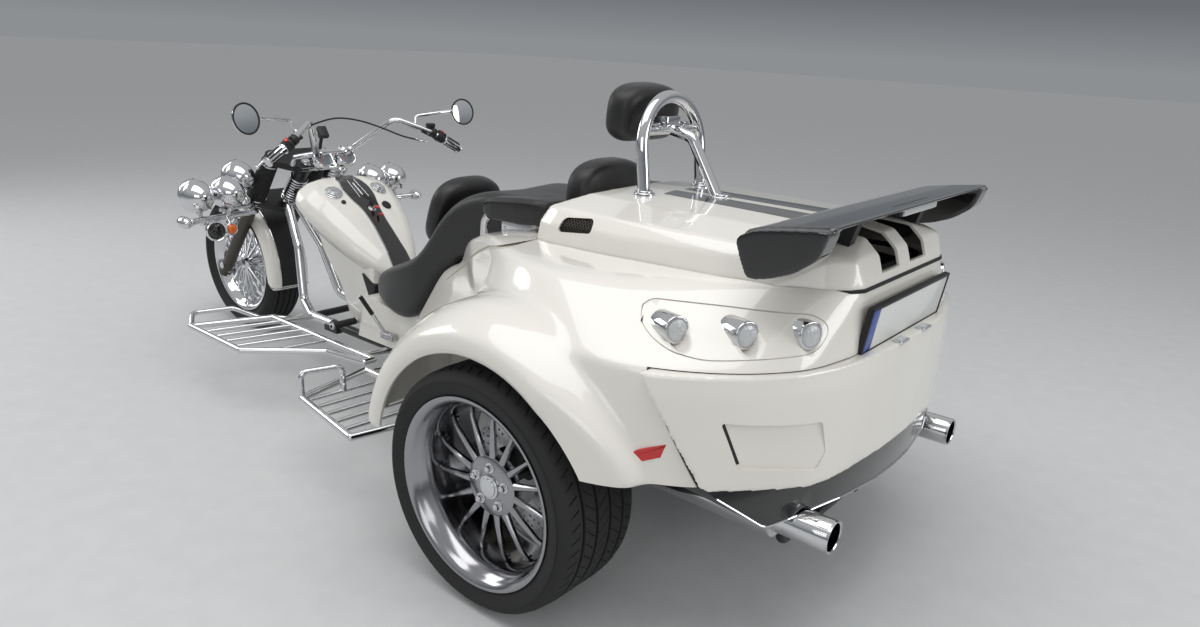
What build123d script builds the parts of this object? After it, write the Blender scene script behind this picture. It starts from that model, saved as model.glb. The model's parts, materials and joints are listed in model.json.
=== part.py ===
from build123d import *
import math
import os

# Motorized trike: one raked front wheel, a saddle in the middle and a wide
# engine and luggage body over two fat rear wheels.
# Millimetres. +X forward, +Y left, +Z up. The origin is on the ground, in the
# middle of the whole outline. Each node is one real piece, written to parts/.

# Overall
WHEELBASE = 2568.0
NOSE_X = 1850.0            # front of the front tyre
REAR_OVERHANG = 805.0      # from the rear axle to the ends of the exhaust tips

# Front wheel
FRONT_TYRE_R = 327.0
FRONT_TYRE_W = 180.0
FRONT_BEAD_R = 228.0
FRONT_LIP_R = 243.0
FRONT_RIM_W = 140.0
FRONT_SPOKES = 20
FRONT_HUB_W = 110.0

# Rear wheels
REAR_TYRE_R = 339.0
REAR_TYRE_W = 285.0
REAR_BEAD_R = 254.0
REAR_LIP_R = 268.0
REAR_RIM_W = 266.0
REAR_TRACK = 1446.0        # between the middles of the two tyres
REAR_SPOKES = 15
REAR_HUB_W = 150.0
LUG_COUNT = 5
LUG_R = 56.0
LUG_D = 22.0

# Shared fits
RUNNING_FIT = 0.05         # radial play of a bearing or a pin
SEAT_GAP = 0.3             # between a moving or soft piece and what it rests on
MOVING_GAP = 6.0           # least air beside a turning piece

# Axles. What belongs to the rear body is drawn with X measured from the rear axle.
FRONT_AXLE_X = NOSE_X - FRONT_TYRE_R
REAR_AXLE_X = FRONT_AXLE_X - WHEELBASE
REAR_WHEEL_Y = REAR_TRACK / 2
TAIL_X = REAR_AXLE_X - REAR_OVERHANG

# Front fork and steering
RAKE_DEG = 40.0
FORK_OFFSET = 60.0         # from the steering axis forward to the legs
FORK_HALF = 128.0          # from the middle to each leg
LEG_D = 52.0
STANCHION_D = 44.0
BOOT_D = 74.0
HEAD_TUBE_D = 62.0
STEM_D = 34.0
HEAD_TUBE_L = 230.0
HEAD_LOW_S = 505.0         # along the steering axis, from level with the axle
CLAMP_T = 34.0
BAR_D = 28.0
GRIP_D = 36.0
LAMP_D = 130.0
LAMP_L = 105.0
LAMP_BAR_D = 26.0
MIRROR_D = 112.0
GAUGE_D = 87.0

# Rear body
WALL = 10.0                # moulded shell
SHELL_LOW_Z = 500.0
WAIST_Z = 780.0            # widest level, also the top of the bumper
DECK_Z = 900.0             # edge of the deck beside the lid
CROWN_Z = 968.0
SEAM_Z = 908.0             # where the lid meets the body, at the lid's front
SEAM_RISE = 38.0           # climb of that seam to the lid's rear
FENDER_Y = 866.0
FENDER_R = 500.0           # crest of the wheel arch bulge, about the rear axle
ARCH_R = 380.0             # edge of the wheel opening
ARCH_LIP_W = 16.0
WELL_R = FENDER_R - 14     # inside of the bulge
LINER_Y = 520.0            # inner wall of the wheel house
BUMPER_REAR_X = REAR_AXLE_X - 781
BUMPER_LOW_Z = 490.0
SKIRT_LOW_Z = 408.0
LID_FRONT_X = REAR_AXLE_X + 225
LID_REAR_X = REAR_AXLE_X - 721
LID_HALF = 425.0
LID_TOP_Z = 1050.0
LID_WALL = 8.0
OPENING_HALF = 380.0
OPENING_FRONT_X = LID_FRONT_X - 50
OPENING_REAR_X = LID_REAR_X + 66
TAIL_LAMP_D = 68.0
PLATE_W = 535.0
PLATE_H = 135.0
PLATE_LEAN_DEG = 6.9
PLATE_Z = 834.0
PLATE_X = LID_REAR_X - 15

# Lid fittings
HOOP_D = 38.0
HOOP_HALF = 150.0
HOOP_X = REAR_AXLE_X + 25
HOOP_TOP_Z = 1316.0
SPOILER_HALF = 545.0
HINGE_X = LID_REAR_X
HINGE_Z = SEAM_Z + SEAM_RISE
HINGE_Y = 220.0
KNUCKLE_D = 12.0
HINGE_PIN_D = 5.0

# Seats
SEAT_HALF = 215.0
TUNNEL_HALF = 175.0

# Chassis
RAIL_D = 50.0
CROSS_D = 32.0
RAIL_Y = 130.0
RAIL_Z = 235.0
BOARD_Z = 250.0
BOARD_D = 26.0
BAR_RUNG_D = 16.0
AXLE_TUBE_D = 76.0
STUB_D = 40.0
ENGINE_FRONT_X = REAR_AXLE_X - 55
ENGINE_REAR_X = REAR_AXLE_X - 595
SEAT_POST_X = (REAR_AXLE_X + 1105, REAR_AXLE_X + 865)
SEAT_POST_TOP = 414.0
JACK_X = (620.0, REAR_AXLE_X + 345)   # flat pads under the rails, for a floor jack
JACK_L = 90.0
JACK_W = 56.0
JACK_Z = 208.0

# Exhaust and tank
EXHAUST_Y = 421.0
EXHAUST_Z = 372.0
EXHAUST_D = 85.0
TANK_HALF = 240.0

SIDES = (("left", 1), ("right", -1))
Y_LINE = Axis((0, 0, 0), (0, 1, 0))


def write(name, shape):
    """One node, one STEP file; several bodies become a compound."""
    os.makedirs("parts", exist_ok=True)
    solids = shape.solids() if hasattr(shape, "solids") else ShapeList(shape)
    whole = solids[0] if len(solids) == 1 else Compound(children=list(solids))
    whole.label = name
    export_step(whole, f"parts/{name}.step")


def tube(points, d, bend=None):
    """Round bar along straight runs, joined by tangent arcs of radius bend."""
    pts = [Vector(*p) for p in points]
    path = FilletPolyline(*pts, radius=bend) if bend and len(pts) > 2 else Polyline(*pts)
    return sweep(Plane(path @ 0, z_dir=path % 0) * Circle(d / 2), path=path)


def rod(a, b, d):
    """Straight round bar from a to b."""
    a, b = Vector(*a), Vector(*b)
    length = (b - a).length
    return Plane(a, z_dir=b - a) * Cylinder(d / 2, length, align=(Align.CENTER, Align.CENTER, Align.MIN))


def outline(points, corner):
    """Closed face through 3-D points, its corners rounded by corner where that is not 0."""
    if corner:
        return make_face(FilletPolyline(*[Vector(*p) for p in points], radius=corner, close=True))
    return make_face(Polyline(*points, close=True))


def prism_xz(points, y0, y1, corner=0):
    """Side outline drawn as X, Z and pulled from y0 to y1."""
    face = outline([(x, 0, z) for x, z in points], corner)
    return Pos(0, y0, 0) * extrude(face, amount=y1 - y0, dir=(0, 1, 0))


def prism_xy(points, z0, z1, corner=0):
    """Plan outline drawn as X, Y and pulled from z0 to z1."""
    face = outline([(x, y, 0) for x, y in points], corner)
    return Pos(0, 0, z0) * extrude(face, amount=z1 - z0, dir=(0, 0, 1))


def prism_yz(points, x0, x1, corner=0):
    """Front outline drawn as Y, Z and pulled from x0 to x1."""
    face = outline([(0, y, z) for y, z in points], corner)
    return Pos(x0, 0, 0) * extrude(face, amount=x1 - x0, dir=(1, 0, 0))


def both_sides(points):
    """Closes a half outline, given from the middle outwards, by its mirror."""
    return [(y, z) for y, z in points] + [(-y, z) for y, z in reversed(points) if y > 0]


def mirrored_plan(points):
    """The same for a plan outline, whose second number is the half width."""
    return [(x, y) for x, y in points] + [(x, -y) for x, y in reversed(points) if y > 0]


def rear(points):
    """Points whose X was measured from the rear axle."""
    return [(REAR_AXLE_X + x, v) for x, v in points]


def turned(profile):
    """Solid of revolution about Y from points of Y and radius."""
    face = make_face(Polyline(*[(0, y, r) for y, r in profile], close=True))
    return revolve(face, axis=Y_LINE)


def disc_y(radius, y0, y1, x=0.0, z=0.0):
    """Cylinder along Y."""
    axis = Plane((x, y0, z), z_dir=(0, 1, 0))
    return axis * Cylinder(radius, y1 - y0, align=(Align.CENTER, Align.CENTER, Align.MIN))


def disc_x(radius, x0, x1, y=0.0, z=0.0):
    """Cylinder along X."""
    axis = Plane((x0, y, z), z_dir=(1, 0, 0))
    return axis * Cylinder(radius, x1 - x0, align=(Align.CENTER, Align.CENTER, Align.MIN))


def box(x0, x1, y0, y1, z0, z1):
    """Box by its corners."""
    return Pos((x0 + x1) / 2, (y0 + y1) / 2, (z0 + z1) / 2) * Box(x1 - x0, y1 - y0, z1 - z0)


# Wheels, drawn about the origin with the outer side towards +Y

def tyre(radius, width, bead_r, lip_r, rim_w):
    """Hollow casing: flat tread, round shoulders, two beads on the rim."""
    half, seat = width / 2, rim_w / 2 - 6.3
    wall = 14.0
    shoulder = radius - 34
    outer = [(-seat, bead_r), (-seat, lip_r + 2), (-half, (bead_r + shoulder) / 2 + 12),
             (-half + 6, shoulder), (-half + 34, radius - 4), (-half * 0.45, radius)]
    outer += [(-y, r) for y, r in reversed(outer)]
    inner = [(seat - wall, bead_r), (seat - wall, bead_r + 24), (half - wall, (bead_r + shoulder) / 2 + 8),
             (half - wall - 8, shoulder - 6), (half - wall - 34, radius - 20)]
    inner += [(-y, r) for y, r in reversed(inner)]
    return turned(outer + inner)


def barrel(bead_r, lip_r, rim_w, drop):
    """Rim barrel with a lip at each side and a dropped middle."""
    half, t = rim_w / 2, 6.0
    top = [(-half, lip_r), (-half + 5, lip_r), (-half + 6, bead_r - 0.1), (-half + 44, bead_r - 0.1),
           (-half + 60, bead_r - drop)]
    top += [(-y, r) for y, r in reversed(top)]
    low = [(half, bead_r - t), (half - 46, bead_r - t - 1), (half - 62, bead_r - drop - t)]
    low += [(-y, r) for y, r in reversed(low)]
    return turned(top + low)


def spoke_wheel(bead_r, lip_r, rim_w, drop, hub_r, hub_w, bore_r, face_y, count, spoke_w, disc_r):
    """Rim, hub, straight spokes and the brake disc that is bolted to the hub."""
    rim = barrel(bead_r, lip_r, rim_w, drop)
    hub = turned([(-hub_w / 2, bore_r), (-hub_w / 2, hub_r * 0.8), (face_y - 20, hub_r),
                  (face_y + 4, hub_r), (face_y + 12, hub_r * 0.72), (face_y + 12, bore_r)])
    reach = bead_r - drop - 2
    root, tip = hub_r - 10, reach + 2
    blade = [(-spoke_w, root), (spoke_w, root), (spoke_w * 0.42, tip), (-spoke_w * 0.42, tip)]
    spoke = prism_xz(blade, face_y - 15, face_y - 1)
    spokes = [Rot(0, 360.0 * i / count, 0) * spoke for i in range(count)]
    disc = turned([(-hub_w / 2 + 4, bore_r + 6), (-hub_w / 2 + 4, disc_r), (-hub_w / 2 + 14, disc_r),
                   (-hub_w / 2 + 14, bore_r + 6)])
    for i in range(LUG_COUNT if hub_r > LUG_R + LUG_D else 0):
        a = math.radians(90 + 360.0 * i / LUG_COUNT)
        hub -= disc_y(LUG_D / 2, face_y - 8, face_y + 13, LUG_R * math.cos(a), LUG_R * math.sin(a))
    return rim + hub + spokes + disc


def wheels():
    """Front tyre and rim, then both rear ones."""
    front = Pos(FRONT_AXLE_X, 0, FRONT_TYRE_R)
    write("front_tyre", front * tyre(FRONT_TYRE_R, FRONT_TYRE_W, FRONT_BEAD_R, FRONT_LIP_R, FRONT_RIM_W))
    rim = spoke_wheel(FRONT_BEAD_R, FRONT_LIP_R, FRONT_RIM_W, 22, 42, FRONT_HUB_W, FRONT_BORE_R, 20,
                      FRONT_SPOKES, 7, 140)
    write("front_rim", front * rim)
    for side, s in SIDES:
        place = Pos(REAR_AXLE_X, s * REAR_WHEEL_Y, REAR_TYRE_R)
        turn = Rot(0, 0, 0) if s > 0 else Rot(0, 0, 180)
        casing = tyre(REAR_TYRE_R, REAR_TYRE_W, REAR_BEAD_R, REAR_LIP_R, REAR_RIM_W)
        write(f"rear_tyre_{side}", place * turn * casing)
        rim = spoke_wheel(REAR_BEAD_R, REAR_LIP_R, REAR_RIM_W, 26, 82, REAR_HUB_W, STUB_D / 2 + RUNNING_FIT, 40,
                          REAR_SPOKES, 13, 160)
        write(f"rear_rim_{side}", place * turn * rim)


# Steering. Points on the raked steering axis are given by their distance s
# along it, from the foot of the line that the axle's height cuts.

RAKE = math.radians(RAKE_DEG)
UP_X, UP_Z = -math.sin(RAKE), math.cos(RAKE)
FWD_X, FWD_Z = math.cos(RAKE), math.sin(RAKE)
AXLE_PIN_D = 24.0
RISER_Y = 100.0
RISER_D = 24.0
LAMP_PLACES = ((1001, 494, 776), (990, 364, 781), (1122, 240, 822))
LOW_LAMP = (975, 451, 625)
FRONT_BORE_R = AXLE_PIN_D / 2 + RUNNING_FIT


def on_fork(s, forward=0.0, y=0.0):
    """Point at s along the fork and forward of the steering axis."""
    f = forward - FORK_OFFSET
    return (FRONT_AXLE_X + s * UP_X + f * FWD_X, y, FRONT_TYRE_R + s * UP_Z + f * FWD_Z)


def fork_box(s0, s1, f0, f1, y0, y1):
    """Box in the raked frame of the fork."""
    pts = [on_fork(s0, f0), on_fork(s1, f0), on_fork(s1, f1), on_fork(s0, f1)]
    return prism_xz([(p[0], p[2]) for p in pts], y0, y1)


def head_tube():
    """Bearing tube of the frame."""
    low, high = HEAD_LOW_S, HEAD_LOW_S + HEAD_TUBE_L
    outer = rod(on_fork(low), on_fork(high), HEAD_TUBE_D)
    return outer - rod(on_fork(low - 5), on_fork(high + 5), STEM_D + 2 * RUNNING_FIT)


def steering():
    """Everything that turns with the handlebar."""
    low = HEAD_LOW_S - CLAMP_T - MOVING_GAP / 10
    high = HEAD_LOW_S + HEAD_TUBE_L + MOVING_GAP / 10
    fork = rod(on_fork(low), on_fork(high + CLAMP_T), STEM_D)
    for s0 in (low, high):
        fork += fork_box(s0, s0 + CLAMP_T, -28, FORK_OFFSET + 30, -FORK_HALF - 30, FORK_HALF + 30)
    for side, s in SIDES:
        y = s * FORK_HALF
        fork += rod(on_fork(-62, FORK_OFFSET, y), on_fork(low + 2, FORK_OFFSET, y), LEG_D)
        fork += rod(on_fork(low, FORK_OFFSET, y), on_fork(high + CLAMP_T, FORK_OFFSET, y), STANCHION_D)
    fork += disc_y(AXLE_PIN_D / 2, -FORK_HALF, FORK_HALF, FRONT_AXLE_X, FRONT_TYRE_R)
    for s in (-1, 1):
        y0, y1 = sorted((s * (FRONT_HUB_W / 2 + SEAT_GAP), s * (FORK_HALF - 10)))
        fork += disc_y(19, y0, y1, FRONT_AXLE_X, FRONT_TYRE_R)
    write("fork", fork)

    boots = []
    for side, s in SIDES:
        a = on_fork(low + CLAMP_T + 1, FORK_OFFSET, s * FORK_HALF)
        b = on_fork(high - 1, FORK_OFFSET, s * FORK_HALF)
        boots.append(rod(a, b, BOOT_D) - rod(a, b, STANCHION_D))
    write("fork_boots", Compound(children=[p for b in boots for p in b.solids()]))

    # Handlebar on two risers that lean back from the upper clamp
    half_bar = [(483, 465, 980), (503, 352, 1042), (703, 285, 1094), (749, 205, 1062), (713, 125, 985)]
    bar_pts = half_bar + [(x, -y, z) for x, y, z in reversed(half_bar)]
    bar = tube(bar_pts, BAR_D, 36)
    clamp_top = on_fork(high + CLAMP_T, -10)
    for s in (-1, 1):
        y = s * RISER_Y
        bar += tube([(713, y, 985), (820, y, 965), (clamp_top[0], y, clamp_top[2] - 6)], RISER_D, 60)
    bar -= fork_box(high - 40, high + CLAMP_T, -60, FORK_OFFSET, -FORK_HALF, FORK_HALF)
    write("handlebar", bar)

    grips = []
    boxes = []
    mirrors = []
    for side, s in SIDES:
        inner, end = Vector(503, s * 352, 1042), Vector(483, s * 465, 980)
        along = (end - inner).normalized()
        a, b = inner + along * 44, end + along * 4
        grips.append(rod(a, b, GRIP_D) - bar)
        a, b = inner + along * 16, inner + along * 42
        hand_box = rod(a, b, 48) - bar
        ahead = Vector(30, s * 4, 6)
        hand_box += rod(a + along * 12 + ahead * 0.72, a + along * 12 + ahead * 1.9, 12)
        hand_box += rod(a + along * 12 + ahead * 1.8, b + along * 84 + ahead * 1.6, 11)
        boxes.append(hand_box)
        face = Plane((513, s * 521, 1130), x_dir=(0, 1, 0), z_dir=(-0.97, -s * 0.16, 0.18))
        glass = face * Cylinder(MIRROR_D / 2, 16, align=(Align.CENTER, Align.CENTER, Align.MAX))
        stem = tube([inner + along * 8 + Vector(0, 0, BAR_D / 2 - 2), (508, s * 352, 1100),
                     (524, s * 521, 1124)], 9, 16)
        mirrors.append(glass + stem - bar)
    write("grips", Compound(children=[p for g in grips for p in g.solids()]))
    write("hand_controls", Compound(children=[p for g in boxes for p in g.solids()]))
    write("mirrors", Compound(children=[p for g in mirrors for p in g.solids()]))

    gauges = []
    for s in (-1, 1):
        face = Plane((753, s * 57, 933), x_dir=(0, 1, 0), z_dir=(-0.78, 0, 0.62))
        can = face * Cylinder(GAUGE_D / 2, 46, align=(Align.CENTER, Align.CENTER, Align.MAX))
        can += tube([(786, s * 57, 905), on_fork(high + CLAMP_T / 2, -28.2, s * 40)], 18)
        can -= fork_box(high, high + CLAMP_T, -28, FORK_OFFSET, -90, 90)
        gauges.append(can)
    write("gauges", gauges[0] + gauges[1])

    bars, lamps, bullets, low_lamps = [], [], [], []
    for side, s in SIDES:
        arm = tube([(1195, s * 159, 683), (1070, s * 225, 672), (945, s * 560, 687)], LAMP_BAR_D, 90)
        for x, y, z in LAMP_PLACES:
            foot_x = 1070 - (y - 225) * (1070 - 945) / (560 - 225)
            arm += rod((foot_x, s * y, 680), (x, s * y, z - LAMP_D / 2 + 4), 14)
        for x, y, z in LAMP_PLACES:
            bowl = disc_x(LAMP_D / 2, x - 6, x + LAMP_L * 0.4, s * y, z)
            dome = Pos(x - 6, s * y, z) * Sphere(LAMP_D / 2)
            bowl += dome & box(x - LAMP_L * 0.62, x - 6, s * y - LAMP_D, s * y + LAMP_D, z - LAMP_D, z + LAMP_D)
            lamps.append(bowl)
            arm -= bowl
        arm -= fork_box(low - 60, low + CLAMP_T, -60, 120, -FORK_HALF - 30, FORK_HALF + 30)
        bullet = disc_x(25, 905, 968, s * 586, 687)
        bars.append(arm - bullet)
        bullets.append(bullet)
        x, y, z = LOW_LAMP
        ring = disc_x(44, x - 30, x + 26, s * y, z)
        bars[-1] += rod((x, s * y, 680), (x, s * y, z + 40), 12) - ring
        low_lamps.append(ring)
    write("lamp_bar", Compound(children=[p for b in bars for p in b.solids()]))
    write("headlamps", Compound(children=[p for b in lamps for p in b.solids()]))
    write("indicators", Compound(children=[p for b in bullets + low_lamps for p in b.solids()]))

    # Front mudguard: a deep valanced arch held by the lower legs
    w = FRONT_TYRE_W / 2 + 8
    r = FRONT_TYRE_R + 24
    t = 3.0
    arch = turned([(-w, r - 46), (-w + 3, r), (-w * 0.6, r + 16), (w * 0.6, r + 16), (w - 3, r), (w, r - 46),
                   (w - t, r - 46), (w - t - 3, r - 1), (w * 0.6 - 1, r + 13), (-w * 0.6 + 1, r + 13),
                   (-w + t + 3, r - 1), (-w + t, r - 46)])
    wedge = prism_xz([(0, 0)] + [(700 * math.cos(math.radians(a)), 700 * math.sin(math.radians(a)))
                                 for a in (42, 80, 120, 160, 191)], -300, 300)
    guard = Pos(FRONT_AXLE_X, 0, FRONT_TYRE_R) * (arch & wedge)
    for side, s in SIDES:
        y0, y1 = sorted((s * (w - t), s * (FORK_HALF - LEG_D / 2 + 3)))
        leg = rod(on_fork(-62, FORK_OFFSET, s * FORK_HALF), on_fork(low, FORK_OFFSET, s * FORK_HALF), LEG_D)
        guard += fork_box(300, 328, FORK_OFFSET - 14, FORK_OFFSET + 14, y0, y1) - leg
    write("front_fender", guard)

    cable = tube([(511, 378, 1043), (585, 300, 1120), (645, 90, 1150), (645, -95, 1146), (585, -300, 1118),
                  (511, -378, 1043)], 7, 60)
    write("clutch_cable", cable - Compound(children=[p for g in boxes for p in g.solids()]))


# Root pieces

def chassis(shell):
    """Welded tube frame with the bearing tube, the engine and the axle."""
    frame = head_tube()
    frame += tube([on_fork(HEAD_LOW_S + 120, -HEAD_TUBE_D / 2 + 6), (760, 0, 560), (400, 0, 330),
                   (170, 0, RAIL_Z)], RAIL_D, 120)
    for s in (-1, 1):
        frame += tube([on_fork(HEAD_LOW_S + 30, -HEAD_TUBE_D / 2 + 8, s * 22), (985, s * 60, 500),
                       (915, s * 95, RAIL_Z + 40), (800, s * RAIL_Y, RAIL_Z),
                       (ENGINE_REAR_X - 50, s * RAIL_Y, RAIL_Z)], RAIL_D * 0.8, 60)
        x = REAR_AXLE_X + 405
        frame += rod((x, s * RAIL_Y, RAIL_Z), (x, s * (LINER_Y - WALL), 485), 26)
        x = ENGINE_REAR_X - 30
        frame += tube([(x, s * RAIL_Y, RAIL_Z), (x, s * 330, RAIL_Z), (x, s * 330, 640), (x - 90, s * 330, 700)], 26, 40)
    for x in (790, 170, REAR_AXLE_X + 525, ENGINE_REAR_X - 30):
        frame += rod((x, -RAIL_Y, RAIL_Z), (x, RAIL_Y, RAIL_Z), CROSS_D)
    for s in (-1, 1):
        for x in SEAT_POST_X:
            frame += rod((x, s * RAIL_Y, RAIL_Z), (x, s * RAIL_Y, SEAT_POST_TOP), 30)
        for x in JACK_X:
            y0, y1 = sorted((s * (RAIL_Y - JACK_W / 2), s * (RAIL_Y + JACK_W / 2)))
            frame += box(x - JACK_L / 2, x + JACK_L / 2, y0, y1, JACK_Z, RAIL_Z)
    frame -= rod(on_fork(HEAD_LOW_S - 5), on_fork(HEAD_LOW_S + HEAD_TUBE_L + 5), STEM_D + 2 * RUNNING_FIT)
    frame -= shell
    frame = ShapeList(frame.solids()).sort_by(lambda b: -b.volume)[0]
    write("chassis_frame", frame)

    engine = box(ENGINE_REAR_X, ENGINE_FRONT_X, -300, 300, RAIL_Z + RAIL_D * 0.4, 600)
    engine = chamfer(engine.edges().filter_by(Axis.X), 30)
    write("engine_block", engine)

    axle = disc_y(AXLE_TUBE_D / 2, -REAR_WHEEL_Y + 130, REAR_WHEEL_Y - 130, REAR_AXLE_X, REAR_TYRE_R)
    for s in (-1, 1):
        y0, y1 = sorted((s * (REAR_WHEEL_Y - 131), s * (REAR_WHEEL_Y + 52)))
        axle += disc_y(STUB_D / 2, y0, y1, REAR_AXLE_X, REAR_TYRE_R)
        y0, y1 = sorted((s * (REAR_WHEEL_Y - 131), s * (REAR_WHEEL_Y - REAR_HUB_W / 2 - SEAT_GAP)))
        axle += disc_y(STUB_D / 2 + 12, y0, y1, REAR_AXLE_X, REAR_TYRE_R)
        arm = ((0, 360, REAR_TYRE_R), (365, 300, 260), (455, RAIL_Y + 18, RAIL_Z))
        axle += tube([(REAR_AXLE_X + x, s * y, z) for x, y, z in arm], 40, 60)
        y0, y1 = sorted((s * (REAR_WHEEL_Y - REAR_HUB_W / 2 - 32), s * (REAR_WHEEL_Y - REAR_HUB_W / 2 - MOVING_GAP)))
        grip = box(-40, 40, y0, y1, 20, 176)
        axle += Pos(REAR_AXLE_X, 0, REAR_TYRE_R) * Rot(0, 60, 0) * grip
    write("rear_axle", axle - frame)
    return frame


# Rear body: four plan outlines, from the skirt up to the crown, with flat facets
# between them. A row is one corner of the half outline, from the front round to
# the rear: X from the rear axle and half width at each level, then its radius.

CORE_ROWS = (
    # skirt        waist        deck         crown        radius
    ((745, 215), (745, 215), (745, 190), (745, 150), 40),
    ((625, 290), (625, 285), (625, 250), (625, 190), 90),
    ((405, 500), (405, 480), (405, 400), (405, 300), 120),
    ((195, 640), (195, 620), (195, 540), (195, 400), 150),
    ((-5, 735), (-5, 715), (-5, 620), (-5, 415), 150),
    ((-205, 765), (-205, 755), (-205, 585), (-205, 428), 150),
    ((-395, 755), (-395, 745), (-415, 505), (-415, 422), 120),
    ((-555, 665), (-570, 640), (-535, 480), (-545, 405), 120),
    ((-680, 500), (-690, 480), (-677, 400), (-680, 340), 100),
    ((-727, 300), (-727, 300), (-720, 270), (-720, 250), 60),
)
CORE_LEVELS = (SHELL_LOW_Z - 40, WAIST_Z, DECK_Z, CROWN_Z)
CORE_FRONT_SLOPE = ((745, 430), (745, 560), (625, 745), (405, 870))


def seam_z(x):
    """Height of the seam between body and lid at X."""
    return SEAM_Z + SEAM_RISE * (LID_FRONT_X - x) / (LID_FRONT_X - LID_REAR_X)


def above_seam(gap):
    """Everything over the seam's sloping plane."""
    x0, x1 = LID_REAR_X - 300, LID_FRONT_X + 300
    return prism_xz([(x0, seam_z(x0) + gap), (x1, seam_z(x1) + gap), (x1, 1500), (x0, 1500)], -600, 600)


def plan_face(half_outline, corners, z, inset=0.0):
    """Face of a mirrored half plan with rounded corners, pulled in by inset."""
    whole = mirrored_plan(half_outline)
    radii = list(corners) + list(reversed(corners))
    face = make_face(FilletPolyline(*[Vector(x, y, 0) for x, y in whole], radius=radii, close=True))
    if inset:
        face = offset(face, amount=-inset)
    return Pos(0, 0, z) * face


def plan_prism(half_outline, corners, z0, z1, inset=0.0):
    """Closed body from a half plan, mirrored, its corners rounded."""
    points = [p for p in half_outline if p[1]]
    return extrude(plan_face(points, corners, z0, inset), amount=z1 - z0, dir=(0, 0, 1))


def core(inset=0.0):
    """Middle body between and behind the wheels."""
    radii = [row[-1] for row in CORE_ROWS]
    whole = None
    faces = [plan_face(rear([row[i] for row in CORE_ROWS]), radii, z, inset) for i, z in enumerate(CORE_LEVELS)]
    for low, high in zip(faces, faces[1:]):
        stage = loft([low, high], ruled=True)
        whole = stage if whole is None else whole + stage
    top = rear(CORE_FRONT_SLOPE) + [(LID_FRONT_X, SEAM_Z), (LID_REAR_X - 60, seam_z(LID_REAR_X - 60))]
    low = [(LID_REAR_X - 60, SHELL_LOW_Z), (REAR_AXLE_X - 455, SHELL_LOW_Z)]
    side = prism_xz(top + low, -900, 900)
    if inset:
        side = Pos(0, 0, -inset) * side + Pos(0, 0, -300) * side
    return whole & side


FENDER_SECTION = ((LINER_Y - WALL, ARCH_R - 26), (LINER_Y - WALL, FENDER_R - 6), (690, FENDER_R), (740, FENDER_R - 5),
                  (796, FENDER_R - 24), (838, FENDER_R - 48), (858, FENDER_R - 64), (FENDER_Y, FENDER_R - 82),
                  (FENDER_Y, ARCH_R), (FENDER_Y - ARCH_LIP_W, ARCH_R), (FENDER_Y - ARCH_LIP_W, ARCH_R - 26))
WELL_SECTION = ((LINER_Y, 0), (LINER_Y, WELL_R), (700, WELL_R), (740, WELL_R - 4), (790, WELL_R - 24),
                (828, WELL_R - 46), (846, WELL_R - 62), (FENDER_Y - ARCH_LIP_W, WELL_R - 80),
                (FENDER_Y - ARCH_LIP_W, 0))
FENDER_PLAN = ((845, 0), (845, FENDER_Y), (-75, FENDER_Y), (-255, 846), (-415, 790), (-535, 700), (-535, 0))


def fender_out():
    """Bulge over one rear wheel, drawn for the left side about the axle."""
    keep = prism_xz([(0, 0)] + [(900 * math.cos(math.radians(a)), 900 * math.sin(math.radians(a)))
                                for a in (9, 45, 90, 130, 158)], 0, 900)
    bulge = Pos(REAR_AXLE_X, 0, REAR_TYRE_R) * (turned(FENDER_SECTION) & keep)
    return bulge & prism_xy(rear(FENDER_PLAN), 300, 950)


def body_shell():
    """Moulded rear body: hollow, open below, with wheel houses and the luggage opening."""
    bulge = fender_out()
    shell = core() + bulge + mirror(bulge, about=Plane.XZ)
    hollow = core(WALL)
    for s in (-1, 1):
        y0, y1 = sorted((s * (LINER_Y - WALL), s * 900))
        hollow -= disc_y(WELL_R + WALL, y0, y1, REAR_AXLE_X, REAR_TYRE_R)
    shell -= hollow
    inner_plan = rear([(x, y - ARCH_LIP_W if y else 0) for x, y in FENDER_PLAN])
    well = Pos(REAR_AXLE_X, 0, REAR_TYRE_R) * turned(WELL_SECTION) & prism_xy(inner_plan, -200, 950)
    for s in (-1, 1):
        shell -= well if s > 0 else mirror(well, about=Plane.XZ)
        y0, y1 = sorted((s * LINER_Y, s * 900))
        shell -= disc_y(ARCH_R, y0, y1, REAR_AXLE_X, REAR_TYRE_R)
        y0, y1 = sorted((s * (LINER_Y - 40), s * (LINER_Y + 40)))
        shell -= disc_y(AXLE_TUBE_D / 2 + 22, y0, y1, REAR_AXLE_X, REAR_TYRE_R)
    shell -= box(OPENING_REAR_X, OPENING_FRONT_X, -OPENING_HALF, OPENING_HALF, SEAM_Z - 60, CROWN_Z + 30)
    shell -= seat_space(SEAT_GAP)
    for s in (-1, 1):
        y0, y1 = sorted((s * (HINGE_Y - 48), s * (HINGE_Y + 48)))
        shell -= disc_y(KNUCKLE_D / 2 + 1, y0, y1, HINGE_X, HINGE_Z)
        for y in (HINGE_Y - 46, HINGE_Y + 34):
            y0, y1 = sorted((s * y, s * (y + 12)))
            lug = disc_y(KNUCKLE_D / 2, y0, y1, HINGE_X, HINGE_Z)
            lug += box(HINGE_X, HINGE_X + 16, y0, y1, HINGE_Z - 26, HINGE_Z - 2)
            shell += lug
        y0, y1 = sorted((s * (HINGE_Y - 40), s * (HINGE_Y + 40)))
        shell += disc_y(HINGE_PIN_D / 2, y0, y1, HINGE_X, HINGE_Z)
    for lamp in tail_lamp_frames():
        shell -= lamp * Cylinder(TAIL_LAMP_D / 2 + 0.2, 120)
    return shell


# Bumper, diffuser, lamps and plate

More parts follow.
